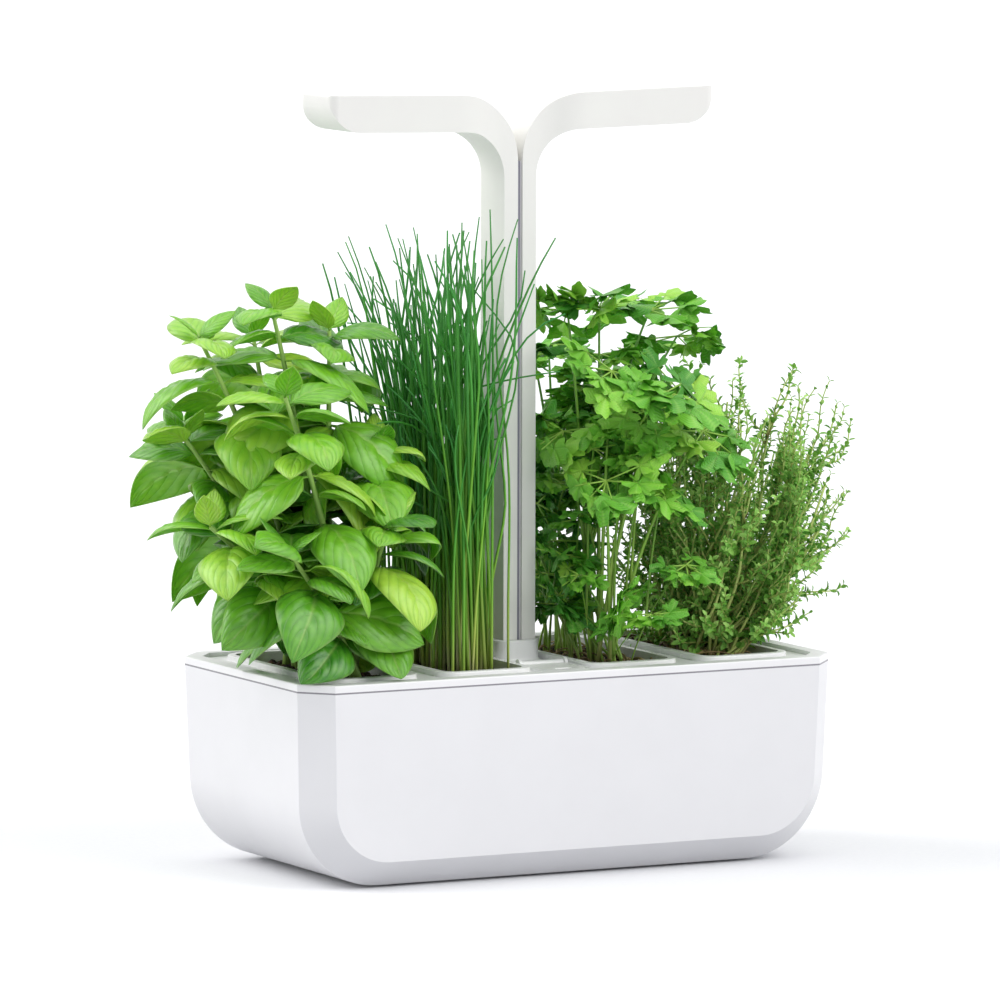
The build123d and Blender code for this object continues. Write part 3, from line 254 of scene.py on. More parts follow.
def frosted(name, colour, deeper, rough):
    """Frosted acrylic or silicone: a pale milky body whose gloss is broken by an etched grain. The
    real grain is finer than a picture shows, so it is drawn 0.7 mm wide."""
    material, add = blank(name)
    place = add("TexCoord").outputs["Object"]
    etch = add("TexNoise", {"Vector": place, "Scale": 1500.0, "Detail": 2.0})
    tint = add("Mix", {"Factor": etch, 6: linear(colour), 7: linear(deeper)}, data_type="RGBA")
    bump = add("Bump", {"Height": etch, "Strength": 0.1, "Distance": 0.1 * MM})
    body = add("BsdfPrincipled", {"Base Color": tint, "Roughness": rough, "IOR": 1.49, "Normal": bump})
    add("OutputMaterial", {"Surface": body})
    return material


ribbon_pvc = frosted("white_ribbon_pvc", "DCDCDA", "D2D2D0", 0.5)
dress(zinc_plate(), "sleeve_screws", "console_screws", "arm_screws", "flap_pin")
dress(solder_mask(), "control_board", "left_led_board", "right_led_board")
dress(frosted("frosted_acrylic", "EDEDEA", "E4E4E2", 0.35), "left_diffuser", "right_diffuser")
dress(frosted("phosphor_silicone", "F2E2A0", "EAD588", 0.2), "left_leds", "right_leds")
dress(ribbon_pvc, "supply_lead")

# %% [markdown]
# ## Surfaces from arrays
# Everything that grows is a surface over two parameters. A stack of such surfaces is one array:
# plant part, step along, step across, then x, y and z. Two functions turn such arrays into meshes and
# sweep rings along paths; the herbs only differ in the arrays that they hand over.

# %% Mesh helpers
def surface(name, grid, material, tone=None, closed=False, thickness=0.0):
    """Mesh object from points (part, along, across, xyz). Its UV map holds the two parameters, and
    its attribute called tone holds one value for each part. A closed grid joins its last column to
    its first. Points that coincide, as at a leaf's tip or a tube's end, are merged."""
    parts, rows, columns, _ = grid.shape
    index = np.arange(parts * rows * columns).reshape(parts, rows, columns)
    if closed:
        index = np.concatenate([index, index[:, :, :1]], axis=2)
    quads = np.stack([index[:, :-1, :-1], index[:, :-1, 1:], index[:, 1:, 1:], index[:, 1:, :-1]], axis=-1)
    mesh = bpy.data.meshes.new(name)
    mesh.from_pydata(grid.reshape(-1, 3), [], quads.reshape(-1, 4))
    share = np.stack(np.meshgrid(np.linspace(0, 1, rows), np.linspace(0, 1, columns), indexing="ij"), -1)
    corner = np.empty(len(mesh.loops), dtype=np.int32)
    mesh.loops.foreach_get("vertex_index", corner)
    uv = np.tile(share.reshape(-1, 2), (parts, 1))[corner]
    mesh.uv_layers.new(name="shares").data.foreach_set("uv", uv.astype(np.float32).ravel())
    values = np.zeros(parts) if tone is None else tone
    spread = np.repeat(values, rows * columns).astype(np.float32)
    mesh.attributes.new("tone", "FLOAT", "POINT").data.foreach_set("value", spread)
    merged = bmesh.new()
    merged.from_mesh(mesh)
    bmesh.ops.remove_doubles(merged, verts=merged.verts, dist=1e-7)
    merged.to_mesh(mesh)
    merged.free()
    mesh.materials.append(material)
    mesh.shade_smooth()
    made = bpy.data.objects.new(name, mesh)
    bpy.context.collection.objects.link(made)
    if thickness:
        wall = made.modifiers.new("wall", "SOLIDIFY")
        wall.thickness, wall.offset = thickness, 0.0
    print(name, parts, "parts,", len(mesh.polygons), "faces")
    return made


def unit(vectors):
    """Vectors scaled to length one."""
    return vectors / np.maximum(np.linalg.norm(vectors, axis=-1, keepdims=True), 1e-9)


def rings(path, radius, sides):
    """Rings round paths: point = path + radius * (cos t * side + sin t * over), where side and over
    are square to the path's direction. Path is (part, along, xyz) and radius (part, along). One more
    ring at each end, shrunk to the path's end, closes the tube."""
    direction = unit(np.gradient(path, axis=1))
    # Few paths run this way, so the cross product with it is seldom short.
    side = unit(np.cross(direction, np.array([0.36, 0.93, 0.05])))
    over = np.cross(direction, side)
    t = np.linspace(0, 2 * np.pi, sides, endpoint=False)[None, None, :, None]
    round_it = np.cos(t) * side[:, :, None] + np.sin(t) * over[:, :, None]
    tube = path[:, :, None] + radius[:, :, None, None] * round_it
    ends = np.repeat(path[:, [0, -1], None], sides, axis=2)
    return np.concatenate([ends[:, :1], tube, ends[:, 1:]], axis=1)


def across(path, share):
    """Points and directions on paths (part, along, xyz) at shares (part, place) of their length."""
    place = np.clip(share, 0, 1) * (path.shape[1] - 1)
    low = np.minimum(place.astype(int), path.shape[1] - 2)
    part = np.arange(len(path))[:, None]
    step = path[part, low + 1] - path[part, low]
    return path[part, low] + step * (place - low)[..., None], unit(step)


ARCH_STEPS = 14


def arch(foot, tip, lean=0.25, climb=0.65, steps=ARCH_STEPS):
    """Paths that climb first and lean later: a quadratic Bezier curve from foot to tip whose middle
    point lies at lean of the way sideways and at climb of the way up."""
    s = np.linspace(0, 1, steps)[None, :, None]
    middle = foot + (tip - foot) * np.array([lean, lean, climb])
    return (1 - s) ** 2 * foot[:, None] + 2 * s * (1 - s) * middle[:, None] + s**2 * tip[:, None]


def facing(heading, rise, roll):
    """Forward and normal directions of leaves at a heading, a rise and a roll, in radians."""
    flat = np.stack([np.cos(heading), np.sin(heading), np.zeros_like(heading)], -1)
    square = np.stack([-np.sin(heading), np.cos(heading), np.zeros_like(heading)], -1)
    over = -np.sin(rise)[..., None] * flat + np.cos(rise)[..., None] * np.array([0.0, 0.0, 1.0])
    forward = np.cos(rise)[..., None] * flat + np.sin(rise)[..., None] * np.array([0.0, 0.0, 1.0])
    return forward, np.cos(roll)[..., None] * over + np.sin(roll)[..., None] * square


RIDGES, SLANT = 5.5, 0.32


def blades(foot, forward, normal, size, bend, outline, fold=0.0, curl=0.0, pucker=0.0, steps=(13, 9)):
    """Leaf surfaces over u along and v across. The midrib turns evenly from forward: its direction is
    cos(bend * u) * forward + sin(bend * u) * normal. A point lies size * outline(u) * v to the side and
    width * (fold * |v| - curl * v * v) + size * pucker * ridge above, where ridge, the swelling
    between side veins, is |sin(pi * RIDGES * (u - SLANT * |v|))| * (1 - v * v) * sin(pi * u)."""
    u, v = np.linspace(0, 1, steps[0]), np.linspace(-1, 1, steps[1])
    turn = (bend[:, None] * u)[:, :, None]
    tangent = np.cos(turn) * forward[:, None] + np.sin(turn) * normal[:, None]
    above = -np.sin(turn) * forward[:, None] + np.cos(turn) * normal[:, None]
    stride = tangent * (size / (steps[0] - 1))[:, None, None]
    midrib = foot[:, None] + np.cumsum(stride, axis=1) - stride
    width = (size[:, None] * outline(u))[:, :, None]
    ridge = np.abs(np.sin(np.pi * RIDGES * (u[:, None] - SLANT * np.abs(v))))
    ridge = ridge * (1 - v**2) * np.sin(np.pi * u)[:, None]
    lift = width * (fold * np.abs(v) - curl * v**2) + pucker * size[:, None, None] * ridge
    side = np.cross(normal, forward)[:, None, None]
    return midrib[:, :, None] + (width * v)[..., None] * side + lift[..., None] * above[:, :, None]


def kept_in(points, low, high, soft=0.018):
    """Points past a room's walls bend back inside: beyond a wall less soft, a distance d becomes
    soft * tanh(d / soft)."""
    low, high = np.array(low) + soft, np.array(high) - soft
    points = np.where(points > high, high + soft * np.tanh((points - high) / soft), points)
    return np.where(points < low, low - soft * np.tanh((low - points) / soft), points)


def pot_of(herb):
    """Middle of a pot's soil and its surface height, and half its width and length."""
    low, high = (np.array(v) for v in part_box(herb + "_soil"))
    return np.array([*(low + high)[:2] / 2, high[2]]), (high - low)[:2] / 2


def planted(herb, *pieces):
    """Foliage that stands for a herb's solid and moves with its pot."""
    for piece in pieces:
        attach(piece, herb + "_planting")
        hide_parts(herb + "_plant")


for herb in ("basil", "chives", "parsley", "thyme"):
    print(herb, "soil surface", pot_of(herb)[0].round(4), "half size", pot_of(herb)[1].round(4))

# %% [markdown]
# ## Skins for leaves and stalks
# A leaf is lit from both sides, so a little light passes through it. Its colour drifts from leaf to
# leaf and in blotches of a few millimetres; veins are paler and pressed in. A stalk changes from a
# straw-coloured foot to green, with fine lines along it.

# %% Plant materials
BLOTCH_MM = 6.25


def leaf_skin(name, greens, vein, veins, slant=0.5, rough=0.42, glow=0.2, contrast=0.2, relief=0.3, wax=0.0):
    """Leaf: three greens by leaf and by blotch, with painted shade in the creases beside its veins, which
    are pale and curve towards the tip, puffed by relief millimetres between them, with a pale rim and a waxy
    sheen."""
    material, add = blank(name)
    share = add("SeparateXYZ", [add("UVMap", uv_map="shares")]).outputs
    off = add("Math", [share[1], 2.0, -1.0], operation="MULTIPLY_ADD")
    off = add("Math", [off], operation="ABSOLUTE")
    bow = add("Math", [off, 1.3], operation="POWER")
    bow = add("Math", [bow, slant], operation="MULTIPLY")
    wave = add("Math", [share[0], bow], operation="SUBTRACT")
    wave = add("Math", [wave, np.pi * veins], operation="MULTIPLY")
    wave = add("Math", [add("Math", [wave], operation="SINE")], operation="ABSOLUTE")
    puff = add("Math", [wave, 0.6], operation="POWER")
    # Each list gives the value, the two values it goes from and the two that it goes to.
    side_veins = add("MapRange", [puff, 0.0, 0.4, 0.5, 0.0])
    midrib = add("MapRange", [off, 0.0, 0.09, 1.0, 0.0])
    rim = add("MapRange", [off, 0.9, 1.0, 0.0, 0.8])
    lines = add("Math", [side_veins, midrib], operation="MAXIMUM")
    lines = add("Math", [lines, rim], operation="MAXIMUM")
    place = add("TexCoord").outputs["Object"]
    blotch = add("TexNoise", {"Vector": place, "Scale": 1 / (BLOTCH_MM * MM), "Detail": 3.0})
    tone = add("Attribute", attribute_name="tone").outputs["Fac"]
    mixed = add("Math", [blotch, 0.3], operation="MULTIPLY")
    mixed = add("Math", [tone, 0.75, mixed], operation="MULTIPLY_ADD")
    mixed = add("Math", [mixed, 0.07], operation="SUBTRACT")
    # Painted shade: the green is darker in the creases beside the veins and lighter on the puffs.
    mixed = add("Math", [puff, 0.1, mixed], operation="MULTIPLY_ADD")
    green = add("ValToRGB", [mixed], stops=list(zip((0.08, 0.5, 0.92), greens)))
    lines = add("Math", [lines, contrast], operation="MULTIPLY")
    veined = add("Mix", {"Factor": lines, 6: green, 7: linear(vein)}, data_type="RGBA")
    height = add("Math", [puff, midrib], operation="SUBTRACT")
    height = add("Math", [blotch, 0.25, height], operation="MULTIPLY_ADD")
    bump = add("Bump", {"Height": height, "Strength": 0.7, "Distance": relief * MM})
    body = add(
        "BsdfPrincipled",
        {
            "Base Color": veined,
            "Roughness": rough,
            "IOR": 1.45,
            "Coat Weight": wax,
            "Coat Roughness": 0.28,
            "Subsurface Weight": glow,
            "Subsurface Scale": 1.5 * MM,
            "Subsurface Radius": (0.6, 1.0, 0.25),
            "Normal": bump,
        },
    )
    add("OutputMaterial", {"Surface": body})
    return material


def stalk_skin(name, stops, deep="24501C", stripes=7.0, rough=0.4):
    """Stalk: colours along its length, each stalk shifted a little, with fine lines along it."""
    material, add = blank(name)
    share = add("SeparateXYZ", [add("UVMap", uv_map="shares")]).outputs
    tone = add("Attribute", attribute_name="tone").outputs["Fac"]
    shift = add("Math", [tone, 0.5], operation="SUBTRACT")
    shift = add("Math", [shift, 0.25], operation="MULTIPLY")
    colour = add("ValToRGB", [add("Math", [share[0], shift], operation="ADD")], stops=stops)
    line = add("Math", [share[1], np.pi * stripes], operation="MULTIPLY")
    line = add("Math", [add("Math", [line], operation="SINE")], operation="ABSOLUTE")
    # A stalk's lot is as good as random: some stalks are darker than others all along.
    lot = add("Math", [add("Math", [tone, 7.0], operation="MULTIPLY")], operation="FRACT")
    dark = add("Math", [line, 0.1], operation="MULTIPLY")
    dark = add("Math", [lot, 0.4, dark], operation="MULTIPLY_ADD")
    shade = add("Mix", {"Factor": dark, 6: colour, 7: linear(deep)}, data_type="RGBA")
    bump = add("Bump", {"Height": line, "Strength": 0.3, "Distance": 0.15 * MM})
    body = add("BsdfPrincipled", {"Base Color": shade, "Roughness": rough, "IOR": 1.42, "Normal": bump})
    add("OutputMaterial", {"Surface": body})
    return material


basil_leaf = leaf_skin(
    "basil_leaf", ("2F7E1A", "7CC22C", "BCE650"), "D2EC92", 6.0, rough=0.36, contrast=0.26, relief=0.55, wax=0.4
)
basil_stem = stalk_skin("basil_stem", [(0.0, "94AC58"), (0.4, "A8CC68"), (1.0, "B8DC78")], deep="6E9A44")
chive_blade = stalk_skin(
    "chive_blade",
    [(0.0, "DCD6A0"), (0.09, "BCCC60"), (0.3, "82C238"), (0.6, "56AE3C"), (1.0, "3C9A42")],
    deep="2A6222",
)
parsley_leaf = leaf_skin(
    "parsley_leaf", ("38902A", "7CCA3C", "B4EA58"), "C0EA80", 9.0, slant=0.32, contrast=0.25
)
parsley_stalk = stalk_skin(
    "parsley_stalk", [(0.0, "B4B86C"), (0.15, "B2DC62"), (0.6, "9AD050"), (1.0, "74B840")]
)
thyme_leaf = leaf_skin("thyme_leaf", ("4A8A34", "88C850", "BEE880"), "CCE8A4", 1.0, rough=0.5, glow=0.05)
thyme_stem = stalk_skin(
    "thyme_stem", [(0.0, "6A5A38"), (0.15, "B8BC68"), (0.35, "DEE88C"), (1.0, "C6E080")], deep="7E9C44"
)
dry_straw = stalk_skin("dry_straw", [(0.0, "5E4830"), (0.5, "A08A5C"), (1.0, "B8A474")], deep="3A2A1C")
print("plant materials ready")

# %% [markdown]
# ## Basil
# Basil carries its leaves in pairs: large domed pairs a quarter turn apart, younger ones in the gaps
# between them, and small upright ones at the tip. Each shoot climbs from the soil and leans outwards.
# The blade is puffed between its veins, which is what makes basil look soft.

# %% Basil
def basil_outline(u):
    """Half-width of a basil leaf: a thin stalk, then an egg shape x**0.6 * (1 - x)**0.95 with a point."""
    x = np.clip((u - 0.10) / 0.90, 0, 1)
    return 0.88 * x**0.6 * (1 - x) ** 0.95 + 0.018 * (u < 0.2)


basil_pot, _ = pot_of("basil")
print("basil stands at", basil_pot.round(4))
# The room for the leaves, as the measured model's foliage shows it: low and high corner in metres.
BASIL_ROOM = [-0.230, -0.098, 0.112], [-0.071, 0.098, 0.332]
# Each row: foot along the pot, then the tip to the right, back and up, as shares of SHOOT_MM.
SHOOT_MM = np.array([52, 120, 62, 204])
shoots = np.array(
    [
        [-0.85, -0.43, -0.97, 0.79],
        [-0.30, -0.29, -0.16, 1.00],
        [-0.10, -0.62, 0.00, 0.93],
        [-0.15, 0.00, -0.16, 0.94],
        [-0.35, 0.20, -0.35, 0.62],
        [0.15, -0.66, 0.15, 0.66],
        [-1.00, -0.45, -1.12, 0.38],
        [-0.70, 0.10, -0.95, 0.44],
        [-0.50, -0.70, -0.55, 0.44],
        [0.60, -0.12, 0.90, 0.90],
        [0.45, -0.50, 0.80, 0.68],
        [0.85, 0.12, 0.85, 0.60],
    ]
) * SHOOT_MM * MM
# Each row: share of the shoot, leaf length in millimetres, rise of its first part and its bend in degrees.
levels = np.array(
    [
        [0.34, 56, -4, -74],
        [0.43, 30, 20, -70],
        [0.52, 62, -6, -76],
        [0.61, 36, 20, -72],
        [0.69, 62, 0, -74],
        [0.77, 40, 14, -66],
        [0.84, 56, 10, -66],
        [0.91, 42, 22, -60],
        [0.97, 44, 30, -56],
        [1.00, 24, 56, -26],
    ]
)
share, leaf_mm, rise_degrees, bend_degrees = levels.T
turn_degrees = np.array([0, 45, 90, 135, 180, 225, 270, 315, 360, 450])
foot = basil_pot + np.stack([0 * shoots[:, 0], shoots[:, 0], 0 * shoots[:, 0]], -1)
tip = basil_pot * np.array([1, 0, 1]) + shoots[:, 1:]
foot[:, 2] -= 3 * MM
basil_paths = arch(foot, tip, lean=0.42, climb=0.6)
stem_radius = np.linspace(2.3, 1.1, ARCH_STEPS)[None] * MM * np.ones((len(shoots), 1))
stem_tubes, stem_tone = rings(basil_paths, stem_radius, 8), rng.uniform(0, 1, len(shoots))
basil_stems = surface("basil_stems", stem_tubes, basil_stem, stem_tone, closed=True)


def spread(column):
    """One value for each leaf from one for each level, the same on every shoot and in every pair."""
    return np.repeat(np.tile(column, len(shoots)), 2)


leaves = 2 * len(shoots) * len(levels)
spot, _ = across(basil_paths, np.tile(share, (len(shoots), 1)))
turn = np.radians(40.0 * np.arange(len(shoots))[:, None] + turn_degrees)
heading = np.stack([turn, turn + np.pi], -1).ravel() + rng.normal(0, 0.1, leaves)
rise = np.radians(spread(rise_degrees)) + rng.normal(0, 0.1, leaves)
forward, normal = facing(heading, rise, rng.normal(0, 0.3, leaves))
size = spread(leaf_mm) * MM * rng.uniform(0.88, 1.08, leaves)
bend = np.radians(spread(bend_degrees)) + rng.normal(0, 0.2, leaves)
tone = np.clip(rng.normal(0.4, 0.26, leaves) + 0.4 * (spread(share) - 0.6), 0, 1)
basil_foot = np.repeat(spot.reshape(-1, 3), 2, axis=0)


def basil_blades(name, chosen, pucker, steps):
    """The chosen basil leaves: domed across by fold less curl, and puffed between their veins."""
    grid = blades(
        basil_foot[chosen], forward[chosen], normal[chosen], size[chosen], bend[chosen], basil_outline,
        fold=0.5, curl=0.62, pucker=pucker, steps=steps,
    )
    grid = kept_in(grid, *BASIL_ROOM)
    return surface(name, grid, basil_leaf, tone[chosen], thickness=0.35 * MM)


GROWN_MM = 50
basil_leaves = basil_blades("basil_leaves", spread(leaf_mm) > GROWN_MM, 0.034, (25, 13))
basil_young = basil_blades("basil_young_leaves", spread(leaf_mm) < GROWN_MM, 0.024, (17, 9))
planted("basil", basil_stems, basil_leaves, basil_young)

# %% [markdown]
# ## Chives
# Chives are thin hollow blades that stand in tight clumps, almost straight, thinning to a point. The
# foot is straw-coloured, all blades bow a little and nearly half are kinked. Blades that would run
# into the mast are left out.

# %% Chives
chives_pot, chives_half = pot_of("chives")
tried, wanted = 1700, 290
clumps = np.array([-0.82, -0.6, -0.35, -0.1, 0.15, 0.4, 0.62, 0.82])
clump = clumps[rng.integers(0, len(clumps), tried)]
foot_x = rng.normal(2, 6.5, tried) * MM
foot_y = clump * chives_half[1] * 0.86 + rng.normal(0, 3.2, tried) * MM
foot = chives_pot + np.stack([foot_x, foot_y, np.full(tried, -3 * MM)], -1)
steps = np.linspace(0, 1, 17)
# The front blades are a little longer than the back ones.
length = (rng.uniform(0.42, 1.0, tried) ** 0.8 * (252 - 0.24 * (foot[:, 1] / MM))) * MM
# A blade's lean from upright is the sum of an even bow, a wave, a curl of its tip and, for some, a kink.
heading = rng.uniform(0, 2 * np.pi, tried)[:, None] + rng.normal(0, 1.6, tried)[:, None] * steps
lean = np.abs(rng.normal(0.02, 0.05, tried))[:, None] + rng.normal(0.02, 0.08, tried)[:, None] * steps
wag = np.sin(rng.uniform(3, 9, tried)[:, None] * steps + rng.uniform(0, 6.3, tried)[:, None])
lean = lean + rng.uniform(0.03, 0.3, tried)[:, None] * wag * steps
lean = lean + rng.normal(0.05, 0.55, tried)[:, None] * steps**5
kink = (rng.uniform(0, 1, tried) < 0.45)[:, None] * rng.uniform(-1.1, 1.4, tried)[:, None]
lean = lean + kink / (1 + np.exp(-(steps - rng.uniform(0.5, 0.9, tried)[:, None]) * 30))
# The back blades are pulled to the left, away from the mast.
pull = np.where(foot[:, 1] > -0.005, rng.uniform(-0.42, 0.02, tried), rng.uniform(-0.14, 0.04, tried))[:, None]
step_x, step_y = np.sin(lean) * np.cos(heading) + pull * steps**2, np.sin(lean) * np.sin(heading)
stride = np.stack([step_x, step_y, np.cos(lean)], -1)
stride = stride * (length / (len(steps) - 1))[:, None, None]
path = foot[:, None] + np.cumsum(stride, axis=1) - stride
x, y, z = path[..., 0], path[..., 1], path[..., 2]
in_room = (x > -0.095).all(1) & (x < 0.016).all(1) & (np.abs(y) < 0.078).all(1) & (z < 0.372).all(1)
in_mast = ((np.abs(x) < 0.017) & (np.abs(y) < 0.026)).any(1)
over_rim = ((x > -0.020) & (np.abs(y) < 0.070) & (z < 0.155)).any(1)
clear = in_room & ~in_mast & ~over_rim
path = path[clear][:wanted]
print("blades clear of the mast", int(clear.sum()), "of", tried, "kept", len(path))
thick = rng.uniform(0.75, 1.15, len(path))[:, None] * MM
chive_radius = thick * (1.03 - steps) ** 0.24
chive_tone = rng.uniform(0, 1, len(path))
chive_blades = surface("chive_blades", rings(path, chive_radius, 5), chive_blade, chive_tone, closed=True)
planted("chives", chive_blades)
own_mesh(chive_blades)

# %% [markdown]
# ## Parsley
# A parsley leaf is divided: its stalk ends in branches, and each branch carries three leaflets, cut
# into lobes and teeth. A leaflet here is a fan whose rim is a polar curve and ruffles the most.

# %% Parsley
def fans(foot, forward, normal, size, phase, rows=3, columns=33):
    """Leaflets over rho from foot to rim and angle t: point = foot + rho * size * rim(t) * (cos t *
    forward + sin t * side) + ruffle * normal. The rim is a long middle lobe between two shorter
    ones, |cos 2.3 t| ** 0.8, with a zigzag of teeth on it."""
    rho, t = np.linspace(0.03, 1, rows)[:, None], np.linspace(-1.6, 1.6, columns)[None]
    teeth = 0.17 * (1 - np.abs(2 * np.mod(2.5 * t, 1) - 1)) * rho**2
    rim = (0.30 + 0.74 * np.abs(np.cos(2.3 * t)) ** 0.8) * (1.0 - 0.2 * np.abs(t)) + teeth
    reach = rho * rim * size[:, None, None]
    ruffle = size[:, None, None] * rho**2 * (0.13 * np.sin(4.1 * t + phase[:, None, None]) - 0.16 * rho)
    side = np.cross(normal, forward)
    return (
        foot[:, None, None]
        + (reach * np.cos(t))[..., None] * forward[:, None, None]
        + (reach * np.sin(t))[..., None] * side[:, None, None]
        + ruffle[..., None] * normal[:, None, None]
    )


parsley_pot, _ = pot_of("parsley")
PARSLEY_ROOM = [0.011, -0.108, 0.116], [0.133, 0.108, 0.338]
FOOT_MM, TIP_MM = 52, np.array([84, 78, 199])
GROWN, YOUNG, LOW = 18, 26, 18
# Each row: foot along the pot and tip to the right, back and up, as shares of FOOT_MM and TIP_MM,
# and the leaf's heading and rise in degrees.
sprays = np.array(
    [
        [-0.30, -0.10, 0.00, 0.99, 180, 20],
        [-0.45, 0.08, -0.12, 1.00, -90, 10],
        [0.10, 0.52, 0.00, 0.98, 20, 10],
        [0.30, 0.78, 0.10, 0.90, 10, -20],
        [0.55, 0.80, 0.30, 0.74, 15, -40],
        [-0.70, 0.25, -0.80, 0.78, -80, -30],
        [-0.55, -0.10, -0.68, 0.84, -120, -20],
        [0.20, -0.18, 0.35, 0.85, 150, -20],
        [-0.60, 0.58, -0.68, 0.66, -40, -35],
        [-0.35, -0.25, -0.25, 0.66, -150, -30],
        [-0.80, -0.20, -0.80, 0.54, -130, -35],
        [-0.90, 0.32, -0.95, 0.30, -70, -25],
        [-0.95, 0.05, -1.00, 0.17, -95, -15],
        [-0.55, -0.28, -0.55, 0.27, -170, -15],
        [0.70, 0.20, 0.90, 0.86, 90, -20],
        [0.60, 0.65, 0.80, 0.74, 50, -35],
        [0.80, -0.15, 0.85, 0.62, 120, -35],
        [0.90, 0.40, 1.00, 0.50, 70, -30],
    ]
)
# Younger leaves stand between the grown ones, a little lower and nearer the middle. Their stalks
# branch off a grown one a little above the soil.
order = np.concatenate([rng.permutation(GROWN), rng.permutation(GROWN)[: YOUNG - GROWN]])
young = np.tile(sprays, (2, 1))[:YOUNG] * 0.55 + sprays[order] * 0.42
young[:, 3] = np.clip(young[:, 3] * rng.uniform(0.8, 1.1, YOUNG), 0.2, 0.86)
young[:, 1] *= np.clip(young[:, 3] + 0.25, 0, 1)
young[:, 4:] = np.stack([rng.uniform(-180, 180, YOUNG), rng.uniform(-55, 20, YOUNG)], -1)
low_leaves = rng.uniform([-0.9, -0.28, -0.3, 0.14, -180, -50], [0.9, 0.06, 0.95, 0.58, 180, 20], (LOW, 6))
sprays = np.concatenate([sprays, young, low_leaves])
stalks = len(sprays)
# Sizes of the leaves: three of the grown ones are small, the young and low ones a little smaller.
grown = np.repeat([1.0, 0.6, 1.0, 0.8], [11, 3, 4, YOUNG + LOW])
foot_x = rng.normal(0, 5, stalks)
foot_y = sprays[:, 0] * FOOT_MM + rng.normal(0, 3, stalks)
foot = parsley_pot + np.stack([foot_x, foot_y, np.full(stalks, -2.0)], -1) * MM
tip = parsley_pot * np.array([1, 0, 1]) + sprays[:, 1:4] * TIP_MM * MM
parsley_paths = arch(foot, tip, lean=0.3, climb=0.62)
young_ones = slice(GROWN, GROWN + YOUNG)
fork, _ = across(parsley_paths[order], rng.uniform(0.2, 0.5, (YOUNG, 1)))
fork = np.where(fork[:, 0, 2:] < 0.9 * tip[young_ones, 2:], fork[:, 0], foot[young_ones])
parsley_paths[young_ones] = arch(fork, tip[young_ones], lean=0.3, climb=0.62)
stalk_radius = np.linspace(1.25, 0.6, ARCH_STEPS)[None] * MM * grown[:, None] ** 2
stalk_tubes, stalk_tone = rings(parsley_paths, stalk_radius, 6), rng.uniform(0, 1, stalks)
parsley_stalks = surface("parsley_stalks", stalk_tubes, parsley_stalk, stalk_tone, closed=True)

# Seven branches leave a stalk's tip, and each carries three fans: one ahead and one to either side.
branch_turns = np.array([0.0, 0.5, -0.5, 1.3, -1.3, 1.95, -1.95])
branch_mm = np.array([21, 17, 17, 18, 18, 19, 19])
fan_turns, fan_mm = [0.0, 1.0, -1.0], [16.5, 13.0, 13.0]
branches, leaflets = stalks * len(branch_turns), stalks * len(branch_turns) * len(fan_turns)
ahead, above = facing(np.radians(sprays[:, 4]), np.radians(sprays[:, 5]), rng.normal(0, 0.15, stalks))
side = np.cross(above, ahead)
out = branch_turns + rng.normal(0, 0.08, (stalks, len(branch_turns)))
branch = np.cos(out)[..., None] * ahead[:, None] + np.sin(out)[..., None] * side[:, None]
branch = unit(branch + rng.normal(0, 0.12, branch.shape))
reach = branch_mm * rng.uniform(0.85, 1.1, out.shape) * grown[:, None] * MM
end = np.broadcast_to(tip[:, None], branch.shape)
twig_end = end + branch * reach[..., None]
fan_foot = np.repeat(twig_end.reshape(-1, 3), len(fan_turns), axis=0)
fan_out = np.tile(fan_turns, branches) + rng.normal(0, 0.15, leaflets)
over = unit(np.repeat(above, leaflets // stalks, axis=0) + rng.normal(0, 0.3, (leaflets, 3)))
along = np.repeat(branch.reshape(-1, 3), len(fan_turns), axis=0)
fan_forward = unit(np.cos(fan_out)[:, None] * along + np.sin(fan_out)[:, None] * np.cross(over, along))
over = unit(over - fan_forward * (over * fan_forward).sum(-1, keepdims=True))
fan_size = np.tile(fan_mm, branches) * rng.uniform(0.8, 1.15, leaflets)
fan_size = fan_size * np.repeat(grown, leaflets // stalks) * MM
fan_grid = fans(fan_foot, fan_forward, over, fan_size, rng.uniform(0, 6.3, leaflets))
fan_grid = kept_in(fan_grid, *PARSLEY_ROOM)
# The low leaves are in the shade of the others, and darker.
shaded = np.arange(stalks)[:, None] >= GROWN + YOUNG
fan_tone = np.clip(rng.normal(0.42, 0.25, out.shape) - 0.3 * shaded, 0, 1)
fan_tone = fan_tone.ravel().repeat(len(fan_turns))
parsley_leaves = surface("parsley_leaves", fan_grid, parsley_leaf, fan_tone)
twig_path = np.stack([end, (end + twig_end) / 2, twig_end], 2).reshape(-1, 3, 3)
twig_tubes = rings(twig_path, np.full((len(twig_path), 3), 0.45 * MM), 5)
parsley_twigs = surface("parsley_twigs", twig_tubes, parsley_stalk, closed=True)
planted("parsley", parsley_stalks, parsley_leaves, parsley_twigs)

# %% [markdown]
# ## Thyme
# Thyme is a small shrub: brown and woody at the foot, with wiry shoots that arch outwards and carry
# pairs of leaves only a few millimetres long. Thousands of leaves need very few faces each.

# %% Thyme
def thyme_outline(u):
    """Half-width of a thyme leaf: a narrow oval."""
    return 0.27 * np.sin(np.pi * (0.04 + 0.94 * u)) ** 0.8


thyme_pot, _ = pot_of("thyme")
THYME_ROOM = [0.085, -0.104, 0.100], [0.221, 0.104, 0.272]
shoots, twigs_each, pairs, path_steps = 96, 5, 11, 12
foot_x, foot_y = rng.normal(1, 6, shoots), rng.uniform(-46, 46, shoots)
foot = thyme_pot + np.stack([foot_x, foot_y, np.full(shoots, -3.0)], -1) * MM
